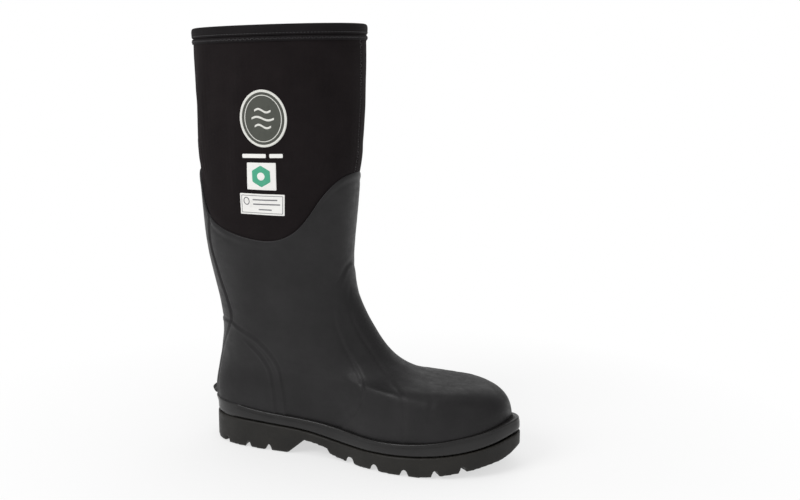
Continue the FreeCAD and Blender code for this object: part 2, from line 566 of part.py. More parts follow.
badge = [(81.4 + 23.0 * math.cos(math.radians(9 * i)), 324.2 + 26.4 * math.sin(math.radians(9 * i))) for i in range(40)]
put("badge_patch", patch(badge, E_LT, E_LB))
put("badge_border", patch(scaled(badge, 0.955), E_LT2, env(-0.68), [scaled(badge, 0.83)]))
put("name_bar", patch([(59, 291.4), (99, 292.2), (99, 288.2), (59, 287.4)], E_LT, E_LB))
safety = [(63.6, 283.4), (92.0, 283.6), (91.2, 257.8), (62.6, 258.2)]
put("safety_label", patch(safety, E_LT, E_LB))
hexa = [(77.4 + 9.0 * math.cos(math.radians(60 * i + 30)), 270.8 + 9.0 * math.sin(math.radians(60 * i + 30))) for i in range(6)]
put("safety_emblem", patch(hexa, E_LT2, env(-0.68)))
info = [(54.4, 254.4), (98.8, 254.0), (97.8, 234.0), (53.2, 234.4)]
put("info_label", patch(info, E_LT, E_LB))
rows = []
for z0, x0, x1 in [(249.2, 68, 92), (244.6, 68, 94.5), (239.6, 73, 86)]:
    rows.append(patch([(x0, z0), (x1, z0), (x1, z0 - 1.1), (x0, z0 - 1.1)], E_LT2, env(-0.68)))
put("info_label_lines", rows[0].fuse(rows[1:]), multi=True)

# ------------------------------------------------------------------ write out
# the origin is the centre of the footprint box: the collar reaches furthest back, the outsole furthest forward
back = PARTS["collar_binding"].optimalBoundingBox(False, False).XMin
tip = PARTS["outsole"].optimalBoundingBox(False, False).XMax
ORIGIN_X = round((back + tip) / 2, 4)
ORIGIN_Y = 0.0
print("origin", ORIGIN_X, "back", back, "tip", tip)
for name, shape in PARTS.items():
    s = shape.copy()
    s.translate(Vec(-ORIGIN_X, -ORIGIN_Y, 0))
    s.exportStep("parts/%s.step" % name)
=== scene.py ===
import math
import bpy
import bmesh
import numpy as np
from mathutils import Matrix, Vector
from mathutils.bvhtree import BVHTree


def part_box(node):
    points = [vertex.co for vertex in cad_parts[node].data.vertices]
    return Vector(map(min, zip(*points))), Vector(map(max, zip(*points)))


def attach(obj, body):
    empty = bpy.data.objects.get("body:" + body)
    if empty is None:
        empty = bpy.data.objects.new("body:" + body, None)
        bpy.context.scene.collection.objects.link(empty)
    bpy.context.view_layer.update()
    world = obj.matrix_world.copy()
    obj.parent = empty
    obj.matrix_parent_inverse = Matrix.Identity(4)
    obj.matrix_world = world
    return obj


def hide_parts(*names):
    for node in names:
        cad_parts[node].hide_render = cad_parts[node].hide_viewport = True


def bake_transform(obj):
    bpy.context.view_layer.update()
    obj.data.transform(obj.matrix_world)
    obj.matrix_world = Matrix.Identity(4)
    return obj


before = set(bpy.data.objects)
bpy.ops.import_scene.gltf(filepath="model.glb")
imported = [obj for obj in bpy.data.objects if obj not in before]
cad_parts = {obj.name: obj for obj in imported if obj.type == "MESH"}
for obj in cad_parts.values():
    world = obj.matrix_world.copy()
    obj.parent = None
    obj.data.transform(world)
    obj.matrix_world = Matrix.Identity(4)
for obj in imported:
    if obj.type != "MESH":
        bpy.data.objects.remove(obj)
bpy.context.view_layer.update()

SCN = bpy.context.scene
OX = -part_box("outsole")[0].x * 1000   # millimetre tables are written from the heel; this moves them to the row frame
RNG = np.random.default_rng(7)

# ------------------------------------------------------------------ shape tables
K = [
 (-3., 15.0,  15, 281.0,   7, 0.00, 44, 0.82,  57, 2.2, 36, 2.2),
 (-2., 10.0,  21, 290.5,  14, 0.00, 44, 0.90,  60, 2.2, 36, 2.2),
 (-1.,  6.0,  26, 298.5,  20, 0.00, 44, 0.97,  63, 2.15, 36, 2.2),
 (0.0,  3.5,  34, 302.0,  30, 0.00, 44, 1.00,  64, 2.15, 36, 2.2),
 (1.0,  1.6,  43, 303.2,  42, 0.00, 44, 1.01,  64, 2.15, 36, 2.2),
 (2.0,  0.8,  52, 302.0,  54, 0.00, 44, 1.00,  65, 2.15, 36, 2.2),
 (3.0,  1.4,  60, 296.5,  65, 0.00, 44, 0.98,  67, 2.15, 36, 2.2),
 (4.0,  2.5,  67, 284.0,  73, 0.00, 44, 0.95,  72, 2.10, 36, 2.2),
 (5.0,  3.6,  73, 264.5,  75.5, 0.03, 44, 0.92,  80, 2.05, 37, 2.2),
 (6.0,  4.9,  80, 236.5,  76.8, 0.10, 44, 0.89,  88, 2.00, 38, 2.2),
 (7.0,  6.5,  88, 208.5,  83.5, 0.25, 44, 0.88,  92, 2.00, 40, 2.1),
 (8.0,  8.4, 97.5, 185.0,  98.5, 0.45, 44, 0.89,  90, 2.00, 44, 2.1),
 (9.0, 10.0, 107.7, 168.7, 118.5, 0.68, 44, 0.90,  84, 2.00, 50, 2.1),
 (10., 10.6, 119.7, 157.8, 136.5, 0.86, 44, 0.90,  78, 2.00, 56, 2.1),
 (11.,  9.2, 133, 150.4, 152.0, 0.97, 44, 0.90,  72, 2.05, 60, 2.1),
 (12.,  6.0, 149, 146.2, 168.7, 1.00, 44.5, 0.9,  66, 2.10, 62, 2.1),
 (13.,  0.4, 170, 145.0, 190.2, 1.00, 46, 0.9,   65, 2.10, 65, 2.1),
 (14., -5.4, 199.5, 146.8, 217.7, 1.00, 48.5, 0.9,  67, 2.10, 67, 2.1),
 (15., -9.2, 238.5, 149.8, 251.3, 1.00, 51.5, 0.9,  71, 2.10, 71, 2.1),
 (16., -11.3, 284.5, 152.5, 292.3, 1.00, 54.5, 0.9,  76, 2.10, 76, 2.1),
 (17., -12.6, 335, 155.4, 338.4, 1.00, 57, 0.9,   81, 2.10, 81, 2.1),
 (18., -14.2, 385, 157.2, 388.5, 1.00, 58.5, 0.9,  85, 2.10, 85, 2.1),
 (19., -15.0, 405, 157.6, 409.5, 1.00, 59, 0.9,   86, 2.10, 86, 2.1),
 (20., -15.8, 425, 158.0, 430.5, 1.00, 59.4, 0.9,  86.5, 2.10, 86.5, 2.1),
]
FX = [0, 30, 60, 90, 120, 150, 180, 210, 240, 270, 300, 330]
WL = [32, 32.5, 34.5, 35, 34, 37.8, 48.3, 54.5, 54.5, 51, 48, 48]
WM = [32, 32.5, 33, 29.5, 27, 32.2, 42.2, 49.5, 51.5, 49, 45.5, 44]
YC = [0, 0, 0, 0, 0, 0.3, 0.8, 1.5, 2.5, 3.8, 5.0, 6]
OL = [(0, 0), (1.5, -9), (6, -18.5), (13, -26), (24, -32), (40, -36.8), (60, -38.8), (80, -39.6), (98, -39.3), (116, -38.6),
      (135, -39.6), (153, -43.4), (170, -49), (185, -53.8), (200, -57), (215, -58.4), (230, -58), (245, -55.8), (260, -51.5),
      (275, -44.4), (289, -35), (300, -23.8), (308.5, -10), (313, 4)]
OM = [(0, 0), (1.5, 9), (6, 18.5), (13, 26), (24, 32), (40, 36.4), (60, 37.6), (80, 36.6), (100, 34.6), (120, 34.6),
      (140, 37.5), (160, 43), (180, 49.4), (200, 54.4), (220, 57), (240, 57.4), (260, 54.5), (275, 49.4), (289, 40.6), (300, 30),
      (309, 17.2), (313, 4)]
GROOVE = [(-8, 27.6), (15, 27.5), (50, 27), (70, 26.2), (93, 25), (116, 22.3), (135, 19), (150, 17.2), (170, 16.2), (190, 16.5),
          (215, 17.4), (240, 18.9), (262, 21.3), (284, 25.2), (299, 29.4), (310, 33.5), (322, 38)]
FOX_TOP = [(-8, 44), (16, 43), (39, 40.8), (60, 38.4), (81, 37), (102, 35.6), (126, 33.2), (150, 30.4), (172, 28.8), (198, 28.8),
           (225, 30.4), (250, 33.4), (272, 37.5), (295, 42.6), (306, 45.8), (322, 49.5)]
TOPLINE = [(-40, 275), (-12, 272), (-2, 262), (3, 246), (8, 234), (14, 226), (22, 220.7), (34, 216), (50, 211.6), (64, 209), (74, 208), (84, 208.4), (92, 210.2),
           (100, 213.6), (108, 219), (115, 226.5), (122, 236.5), (128, 246), (134, 254.5), (140, 262), (146, 268), (152, 271.6), (160, 273), (190, 273)]
COUNTER = [(-30, 126), (31, 125), (37.3, 121.7), (47.2, 117.5), (55.8, 113.8), (60.8, 111.2), (71.7, 100.5), (79.4, 88.8), (82.7, 76.2), (85.8, 64.2), (88.4, 53.4), (89.5, 41.8), (90, 20), (-30, 20)]
COUNTER_IN = [(-30, 117), (34, 116), (46.4, 111.4), (54.6, 104.5), (61.4, 97.3), (67, 89.5), (70.9, 80.1), (74.1, 70.5), (77, 57.1), (78.9, 42.5), (79.5, 20), (-30, 20)]
ACH = [(-60, 300), (13, 300), (11.5, 226.5), (8.7, 216), (8.9, 198.6), (14.5, 182.1), (20.4, 163.6), (27.1, 147), (31.4, 134.2), (31.1, 126.3), (26.1, 115.3), (19.5, 103.6), (11.9, 87.3), (9, 74), (8, 58), (8, 30), (-60, 30)]
VAMP = [(400, 205), (165, 205), (151, 199), (144.9, 185.2), (142.3, 172.8), (139.6, 164.4), (137.5, 150.2), (140, 134), (144.1, 121.4), (149, 110.7), (159.2, 95.1), (167.4, 85.5), (173, 78.4), (175.9, 71.1),
        (172.3, 57.9), (163.5, 44.9), (157.7, 38.9), (148, 28), (140, 18), (400, 0)]
FLEX1 = [(146.5, -9, 160), (147.6, -13, 150.9), (153.5, -17.4, 130.8), (163.6, -17.3, 114), (176.4, -18.5, 97.8), (192.6, -26.3, 82.9), (205.2, -38.6, 76.5), (215.2, -49.8, 72.8), (219.1, -52.3, 62.5), (219.1, -53.5, 48.6), (217.7, -53.7, 34)]
FLEX2 = [(238, -16.6, 76.2), (243, -40.6, 74.1), (243.2, -49.6, 65.4), (243, -51.5, 54.6)]
COLLAR_Z = lambda x: 402.5 + 0.026 * (x + 60)


def spline(xs, ys):
    xs, ys = np.array(xs, float), np.array(ys, float)
    n, h = len(xs), np.diff(np.array(xs, float))
    a, r = np.zeros((n, n)), np.zeros(n)
    a[0, 0] = a[-1, -1] = 1
    for i in range(1, n - 1):
        a[i, i - 1], a[i, i], a[i, i + 1] = h[i - 1], 2 * (h[i - 1] + h[i]), h[i]
        r[i] = 6 * ((ys[i + 1] - ys[i]) / h[i] - (ys[i] - ys[i - 1]) / h[i - 1])
    m = np.linalg.solve(a, r)

    def f(x):
        x = np.clip(np.asarray(x, float), xs[0], xs[-1])
        lo = np.clip(np.searchsorted(xs, x, side="right") - 1, 0, n - 2)
        g = h[lo]
        p, q = (xs[lo + 1] - x) / g, (x - xs[lo]) / g
        return p * ys[lo] + q * ys[lo + 1] + ((p ** 3 - p) * m[lo] + (q ** 3 - q) * m[lo + 1]) * g * g / 6
    return f


def line(pts):
    return spline([p[0] for p in pts], [p[1] for p in pts])


def sstep(a, b, x):
    # smooth step from 0 at a to 1 at b; a may be the larger of the two
    t = np.clip((np.asarray(x, float) - a) / (b - a), 0, 1)
    return t * t * (3 - 2 * t)


def cap(t, p):
    return (1 - (1 - np.clip(t, 0, 1)) ** p) ** (1.0 / p)


TOP = line(TOPLINE)
F_G, F_T = line(GROOVE), line(FOX_TOP)


def zbase(x):
    return 21.0 - 7.0 * (x - 10.0) / 283.0


# ------------------------------------------------------------------ the outer surface as a table of points and normals
HALF = 230
NC = 2 * HALF
NV = 1151
VV = np.linspace(-3, 20, NV)


def make_surface():
    kk = [spline([k[0] for k in K], [k[i] for k in K])(VV)[:, None] for i in range(1, 12)]
    bx, bz, fx, fz, beta, w0, scl, rf, pf, rb, pb = kk
    n = 700
    t = 0.5 - 0.5 * np.cos(math.pi * np.arange(n + 1) / n)[None, :]
    length = np.hypot(fx - bx, fz - bz)
    s = t * length
    x, z = bx + (fx - bx) * t, bz + (fz - bz) * t
    c = cap((length - s) / np.minimum(rf, length * .62), pf) * cap(s / np.minimum(rb, length * .5), pb)
    wl = spline(FX, WL)(x) * scl * (1 - beta) + w0 * beta
    wm = spline(FX, WM)(x) * scl * (1 - beta) + w0 * beta
    yc = spline(FX, YC)(x) * (1 - beta)
    out = np.zeros((NV, NC, 3))
    for side in (0, 1):
        y = yc - wl * c if side == 0 else yc + wm * c
        p = np.stack([x, y, z], -1)
        d = np.linalg.norm(np.diff(p, axis=1), axis=2)
        cum = np.concatenate([np.zeros((NV, 1)), np.cumsum(d, 1)], 1)
        for i in range(NV):
            target = np.linspace(0, cum[i, -1], HALF + 1)
            q = np.stack([np.interp(target, cum[i], p[i, :, k]) for k in range(3)], -1)
            if side == 0:
                out[i, :HALF + 1] = q
            else:
                out[i, HALF + 1:] = q[1:-1][::-1]
    return out


P = make_surface()
DU = np.roll(P, -1, 1) - np.roll(P, 1, 1)
DV = np.gradient(P, axis=0)
N = np.cross(DU, DV)
N /= np.linalg.norm(N, axis=2, keepdims=True)
W = np.concatenate([[0], np.cumsum(np.linalg.norm(np.diff(P, axis=0), axis=2).mean(1))])
IDX = np.arange(NV, dtype=float)


def offset(d):
    q = d(P[..., 0], P[..., 2]) if callable(d) else d
    return P - N * (np.asarray(q)[..., None] if np.ndim(q) else q)


def cross(table, g, lo=-3.0, hi=20.0):
    # for each column, the row index where the surface passes z = g(x)
    f = table[..., 2] - g(table[..., 0])
    a, b = int((lo + 3) / 23 * (NV - 1)), int((hi + 3) / 23 * (NV - 1))
    seg = f[a:b + 1]
    i = np.argmax(seg > 0, axis=0)
    i = np.where((seg > 0).any(axis=0), i, b - a)
    i = np.clip(i, 1, b - a)
    c = np.arange(f.shape[1])
    f0, f1 = seg[i - 1, c], seg[i, c]
    t = np.clip(f0 / np.where(np.abs(f0 - f1) < 1e-9, 1, f0 - f1), 0, 1)
    return a + i - 1 + t


def take(table, vi):
    vi = np.clip(vi, 0, NV - 1.001)
    i = np.floor(vi).astype(int)
    f = (vi - i)[..., None]
    c = np.arange(table.shape[1])[None, :]
    return table[i, c] * (1 - f) + table[i + 1, c] * f


def rows_between(lo, hi, n, first=0.0, last=1.0):
    # row indices from lo to hi per column, evenly spaced along the surface
    wl, wh = np.interp(lo, IDX, W), np.interp(hi, IDX, W)
    r = np.linspace(first, last, n)[:, None]
    return np.interp(wl[None, :] + (wh - wl)[None, :] * r, W, IDX)


# ------------------------------------------------------------------ mesh helpers
def to_m(p):
    q = np.array(p, float)
    q[..., 0] -= OX
    return q * 0.001


def mesh(name, verts_mm, faces, mat, smooth=True):
    me = bpy.data.meshes.new(name)
    me.from_pydata(to_m(verts_mm).tolist(), [], faces)
    me.validate()
    me.update()
    o = bpy.data.objects.new(name, me)
    SCN.collection.objects.link(o)
    if smooth:
        me.polygons.foreach_set("use_smooth", np.ones(len(me.polygons), bool))
    if mat:
        me.materials.append(mat)
    return o


def grid_faces(r, c, wrap_r=False, wrap_c=True, base=0, flip=False):
    i = np.arange(r if wrap_r else r - 1)[:, None]
    j = np.arange(c if wrap_c else c - 1)[None, :]
    a = i * c + j
    b = i * c + (j + 1) % c
    d = ((i + 1) % r) * c + (j + 1) % c
    e = ((i + 1) % r) * c + j
    q = np.stack([a + 0 * b, b + 0 * a, d, e], -1).reshape(-1, 4) + base
    if flip:
        q = q[:, ::-1]
    return q.tolist()


def torus(name, rows, mat, wrap_r=True):
    r, c = rows.shape[:2]
    return mesh(name, rows.reshape(-1, 3), grid_faces(r, c, wrap_r, True), mat)


def seg_dist(px, pz, poly, closed=True):
    # distance to a polyline in the XZ plane; for a closed one the sign is negative inside
    d2 = np.full(px.shape, 1e9)
    inside = np.zeros(px.shape, bool)
    n = len(poly)
    for k in range(n if closed else n - 1):
        ax, az = poly[k]
        bx, bz = poly[(k + 1) % n]
        ex, ez = bx - ax, bz - az
        t = np.clip(((px - ax) * ex + (pz - az) * ez) / (ex * ex + ez * ez + 1e-12), 0, 1)
        d2 = np.minimum(d2, (px - ax - t * ex) ** 2 + (pz - az - t * ez) ** 2)
        if closed:
            hit = ((az > pz) != (bz > pz)) & (px < ex * (pz - az) / (ez if abs(ez) > 1e-9 else 1e-9) + ax)
            inside ^= hit
    d = np.sqrt(d2)
    return np.where(inside, -d, d) if closed else d


def poly_dist3(p, poly):
    d2 = np.full(p.shape[:-1], 1e9)
    poly = np.array(poly, float)
    for a, b in zip(poly, poly[1:]):
        e = b - a
        t = np.clip(((p - a) @ e) / (e @ e), 0, 1)
        d2 = np.minimum(d2, ((p - a - t[..., None] * e) ** 2).sum(-1))
    return np.sqrt(d2)


def round_poly(pts, n=8):
    # corner cutting, so that overlay edges run as smooth curves
    pts = [np.array(p, float) for p in pts]
    for _ in range(2):
        new = []
        for i in range(len(pts)):
            a, b = pts[i], pts[(i + 1) % len(pts)]
            new += [a * .75 + b * .25, a * .25 + b * .75]
        pts = new
    return [tuple(p) for p in pts]


def wobble(p, scale, seed=0):
    # smooth low noise made of sine waves, in -1..1
    r = np.random.default_rng(seed)
    out = np.zeros(p.shape[:-1])
    for _ in range(7):
        k = r.normal(size=3)
        k /= np.linalg.norm(k)
        out += np.sin(p @ (k * 2 * math.pi / scale * r.uniform(.7, 1.5)) + r.uniform(0, 6.28))
    return out / 3.2


def mirror_cols(d):
    # the medial columns take the value of their lateral twins
    d = d.copy()
    d[:, HALF + 1:] = d[:, 1:HALF][:, ::-1]
    return d


def bvh_of(o):
    return BVHTree.FromPolygons([v.co[:] for v in o.data.vertices], [p.vertices[:] for p in o.data.polygons])


# ------------------------------------------------------------------ materials
def new_mat(name):
    m = bpy.data.materials.new(name)
    m.use_nodes = True
    nt = m.node_tree
    for n in list(nt.nodes):
        nt.nodes.remove(n)
    out = nt.nodes.new("ShaderNodeOutputMaterial")
    b = nt.nodes.new("ShaderNodeBsdfPrincipled")
    nt.links.new(b.outputs[0], out.inputs[0])
    tc = nt.nodes.new("ShaderNodeTexCoord")
    return m, nt, b, tc.outputs["Object"]


def node(nt, kind, **kw):
    n = nt.nodes.new(kind)
    for k, v in kw.items():
        if k in n.inputs:
            n.inputs[k].default_value = v
        else:
            setattr(n, k, v)
    return n


def noise(nt, co, scale, detail=3.0, rough=0.55, stretch=None):
    if stretch:
        mp = node(nt, "ShaderNodeMapping")
        mp.inputs["Scale"].default_value = stretch
        nt.links.new(co, mp.inputs["Vector"])
        co = mp.outputs[0]
    n = node(nt, "ShaderNodeTexNoise", Scale=scale, Detail=detail, Roughness=rough)
    nt.links.new(co, n.inputs["Vector"])
    return n.outputs[0]


def ramp(nt, fac, lo, hi, a, b):
    n = node(nt, "ShaderNodeMapRange")
    n.inputs["From Min"].default_value = lo
    n.inputs["From Max"].default_value = hi
    n.inputs["To Min"].default_value = a
    n.inputs["To Max"].default_value = b
    n.clamp = True
    nt.links.new(fac, n.inputs["Value"])
    return n.outputs[0]


def mix(nt, fac, c1, c2):
    n = node(nt, "ShaderNodeMix")
    n.data_type = "RGBA"
    for i, c in ((6, c1), (7, c2)):
        if isinstance(c, (tuple, list)):
            n.inputs[i].default_value = (*c, 1) if len(c) == 3 else c
        else:
            nt.links.new(c, n.inputs[i])
    if isinstance(fac, (int, float)):
        n.inputs[0].default_value = fac
    else:
        nt.links.new(fac, n.inputs[0])
    return n.outputs[2]


def bump(nt, height, strength, distance, prev=None):
    n = node(nt, "ShaderNodeBump", Strength=strength, Distance=distance)
    nt.links.new(height, n.inputs["Height"])
    if prev is not None:
        nt.links.new(prev, n.inputs["Normal"])
    return n.outputs[0]


def math_n(nt, op, a, b=None):
    n = node(nt, "ShaderNodeMath", operation=op)
    for i, v in ((0, a), (1, b)):
        if v is None:
            continue
        if isinstance(v, (int, float)):
            n.inputs[i].default_value = v
        else:
            nt.links.new(v, n.inputs[i])
    return n.outputs[0]


def lin(r, g, b):
    f = lambda c: c / 12.92 if c <= 0.04045 else ((c + 0.055) / 1.055) ** 2.4
    return tuple(f(c / 255) for c in (r, g, b))


def rubber(name, dark, light, rough=0.5, grain=0.35, spec=0.3, dust=0.5, edge=0.35):
    m, nt, b, co = new_mat(name)
    cloud = noise(nt, co, 26, 4, .6)
    fine = noise(nt, co, 420, 3, .6)
    scuff = noise(nt, co, 90, 6, .7, (1, 1, 2.2))
    col = mix(nt, ramp(nt, cloud, .35, .7, 0, 1), dark, light)
    # a pale tone, used both for real dust in the scuffs and for the painted edge highlight below
    dust_and_highlight_tone = tuple(min(1, c * 2.3 + .006) for c in light)
    col = mix(nt, ramp(nt, scuff, .58, .82, 0, dust * .35), col, dust_and_highlight_tone)
    geo = node(nt, "ShaderNodeNewGeometry")
    # painted highlight: convex edges and lips (Pointiness) are lightened by the edge amount; on the tread this
    # lightening also stands for rubbed wear
    col = mix(nt, ramp(nt, geo.outputs["Pointiness"], .515, .60, 0, edge), col, dust_and_highlight_tone)
    nt.links.new(col, b.inputs["Base Color"])
    nt.links.new(ramp(nt, scuff, .3, .75, rough - .07, rough + .12), b.inputs["Roughness"])
    b.inputs["Specular IOR Level"].default_value = spec
    n1 = bump(nt, fine, grain, 0.00025)
    n2 = bump(nt, noise(nt, co, 1500, 2, .5), grain * .8, 0.00008, n1)
    n3 = bump(nt, cloud, .25, 0.0008, n2)
    nt.links.new(n3, b.inputs["Normal"])
    return m


def fabric(name, dark, light, pitch=1.0, rough=.92, sheen=.25, spec=.15, knit=.6, mottle=.6):
    # jersey knit: two families of fine waves, slightly broken up
    m, nt, b, co = new_mat(name)
    warp = noise(nt, co, 60, 3, .5)
    sep = node(nt, "ShaderNodeSeparateXYZ")
    nt.links.new(co, sep.inputs[0])
    k = 2 * math.pi / (pitch * 0.001)
    around = math_n(nt, "ADD", sep.outputs[0], math_n(nt, "MULTIPLY", sep.outputs[1], 0.8))
    wob = math_n(nt, "MULTIPLY", warp, 0.0016)
    u = math_n(nt, "SINE", math_n(nt, "MULTIPLY", math_n(nt, "ADD", around, wob), k))
    v = math_n(nt, "SINE", math_n(nt, "MULTIPLY", math_n(nt, "ADD", sep.outputs[2], wob), k * .8))
    h = math_n(nt, "MULTIPLY", math_n(nt, "ADD", u, 1.0), math_n(nt, "ADD", v, 1.0))
    h = math_n(nt, "MULTIPLY", h, .25)
    fuzz = noise(nt, co, 1800, 2, .6)
    cloud = noise(nt, co, 34, 5, .65)
    f = math_n(nt, "ADD", math_n(nt, "MULTIPLY", h, .45), math_n(nt, "MULTIPLY", ramp(nt, cloud, .3, .7, 0, 1), mottle * .55))
    col = mix(nt, f, dark, light)
    nt.links.new(col, b.inputs["Base Color"])
    nt.links.new(ramp(nt, fuzz, .3, .7, rough - .05, min(1, rough + .06)), b.inputs["Roughness"])
    b.inputs["Specular IOR Level"].default_value = spec
    b.inputs["Sheen Weight"].default_value = sheen
    b.inputs["Sheen Roughness"].default_value = .45
    b.inputs["Sheen Tint"].default_value = (*[min(1, c * 9 + .05) for c in light], 1)
    n1 = bump(nt, h, knit, 0.00022)
    n2 = bump(nt, fuzz, .3, 0.00012, n1)
    n3 = bump(nt, cloud, .2, 0.0009, n2)
    nt.links.new(n3, b.inputs["Normal"])
    return m


def metal(name, col, rough=.34):
    m, nt, b, co = new_mat(name)
    brushed = noise(nt, co, 300, 4, .6, (1, 12, 1))
    spots = noise(nt, co, 80, 5, .7)
    nt.links.new(mix(nt, ramp(nt, spots, .5, .75, 0, .45), col, tuple(c * .45 for c in col)), b.inputs["Base Color"])
    b.inputs["Metallic"].default_value = 1
    nt.links.new(ramp(nt, brushed, .3, .7, rough - .08, rough + .14), b.inputs["Roughness"])
    nt.links.new(bump(nt, brushed, .25, 0.0001), b.inputs["Normal"])
    return m


def foam(name, dark, light, scale=420, strength=.7, rough=.9):
    m, nt, b, co = new_mat(name)
    v = node(nt, "ShaderNodeTexVoronoi", Scale=scale)
    nt.links.new(co, v.inputs["Vector"])
    cells = v.outputs["Distance"]
    nt.links.new(mix(nt, ramp(nt, cells, 0, .6, 0, 1), dark, light), b.inputs["Base Color"])
    b.inputs["Roughness"].default_value = rough
    b.inputs["Specular IOR Level"].default_value = .2
    n1 = bump(nt, cells, strength, 0.0003)
    nt.links.new(bump(nt, noise(nt, co, 60, 4, .6), .3, .0006, n1), b.inputs["Normal"])
    return m


def board(name):
    m, nt, b, co = new_mat(name)
    fib = noise(nt, co, 240, 6, .7, (1, 5, 1))
    nt.links.new(mix(nt, ramp(nt, fib, .3, .7, 0, 1), lin(150, 128, 98), lin(186, 166, 132)), b.inputs["Base Color"])
    b.inputs["Roughness"].default_value = .85
    nt.links.new(bump(nt, fib, .5, .0003), b.inputs["Normal"])
    return m


def printed(name, col, worn, rough=.6, weave=900):
    m, nt, b, co = new_mat(name)
    w = noise(nt, co, weave, 2, .5)
    s = noise(nt, co, 160, 5, .7)
    nt.links.new(mix(nt, ramp(nt, s, .55, .8, 0, .5), col, worn), b.inputs["Base Color"])
    nt.links.new(ramp(nt, s, .3, .7, rough - .08, rough + .1), b.inputs["Roughness"])
    b.inputs["Specular IOR Level"].default_value = .3
    nt.links.new(bump(nt, w, .35, .00015), b.inputs["Normal"])
    return m


def thread(name, col):
    m, nt, b, co = new_mat(name)
    t = noise(nt, co, 2600, 2, .5)
    nt.links.new(mix(nt, t, tuple(c * .5 for c in col), tuple(min(1, c * 1.4) for c in col)), b.inputs["Base Color"])
    b.inputs["Roughness"].default_value = .7
    b.inputs["Sheen Weight"].default_value = .3
    nt.links.new(bump(nt, t, .6, .0001), b.inputs["Normal"])
    return m


# edge sets how strongly convex edges and lips are lightened as painted highlight
M_SHELL = rubber("shell_rubber", lin(25, 24, 25), lin(33, 32, 33), rough=.46, grain=.36, spec=.27, dust=.3, edge=.8)
M_FOX = rubber("foxing_rubber", lin(22, 21, 21), lin(29, 28, 28), rough=.33, grain=.16, spec=.38, dust=.25, edge=1.0)
M_SOLE = rubber("sole_rubber", lin(26, 25, 23), lin(35, 33, 30), rough=.52, grain=.40, spec=.28, dust=.4, edge=.5)
M_NEO = fabric("neoprene", lin(19, 15, 16), lin(34, 29, 30), pitch=.9, sheen=.10, spec=.12)
M_BIND = fabric("binding_tape", lin(15, 13, 14), lin(29, 26, 28), pitch=1.3, rough=.82, sheen=.06, spec=.16, knit=.9)
M_LIN = fabric("lining_mesh", lin(30, 30, 32), lin(66, 66, 70), pitch=2.0, rough=.9, sheen=.3, knit=1.0)
M_BEDC = fabric("footbed_fabric", lin(24, 24, 27), lin(60, 61, 66), pitch=1.4, rough=.92, sheen=.3, knit=.9)
M_FOAM = foam("midsole_foam", lin(52, 52, 56), lin(92, 92, 96))
M_FBED = foam("footbed_foam", lin(40, 41, 45), lin(78, 79, 84), 520)
M_BOARD = board("insole_board")
M_STEEL = metal("cap_steel", (.50, .50, .52))
M_PLATE = metal("plate_steel", (.56, .57, .60), .28)
M_STIFF = rubber("stiffener", lin(70, 68, 64), lin(98, 95, 90), rough=.6, grain=.4, dust=.2, edge=.1)
M_EDGE = rubber("edge_strip", lin(26, 26, 28), lin(44, 44, 46), rough=.6, grain=.3)
M_BFILL = printed("badge_fill", lin(74, 76, 70), lin(50, 52, 48), .75)
M_BWHITE = thread("badge_white", lin(222, 221, 214))
M_WHITE = printed("print_white", lin(232, 231, 228), lin(188, 187, 182), .5)
M_GREEN = printed("print_green", lin(70, 160, 128), lin(104, 178, 150), .5)
M_GREY = printed("print_grey", lin(112, 112, 116), lin(150, 150, 152), .5)
M_THREAD = thread("stitch_thread", lin(40, 37, 40))
for k, mm in {"steel_toe_cap": M_STEEL, "steel_shank": M_STEEL, "puncture_plate": M_PLATE, "toe_cap_edge_strip": M_EDGE, "heel_stiffener": M_STIFF,
              "midsole": M_FOAM, "insole_board": M_BOARD}.items():
    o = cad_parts[k]
    o.data.materials.clear()
    o.data.materials.append(mm)


# ------------------------------------------------------------------ rubber shell: one moulded boot from the sole to the topline
def along(x, z, n, poly):
    # signed distance to an outline drawn in the XZ plane, measured along the surface with normals n
    s0, e = seg_dist(x, z, poly), .2
    gx, gz = (seg_dist(x + e, z, poly) - s0) / e, (seg_dist(x, z + e, poly) - s0) / e
    gn = gx * n[..., 0] + gz * n[..., 2]
    return s0 / np.sqrt(np.maximum(.05, gx * gx + gz * gz - gn * gn))


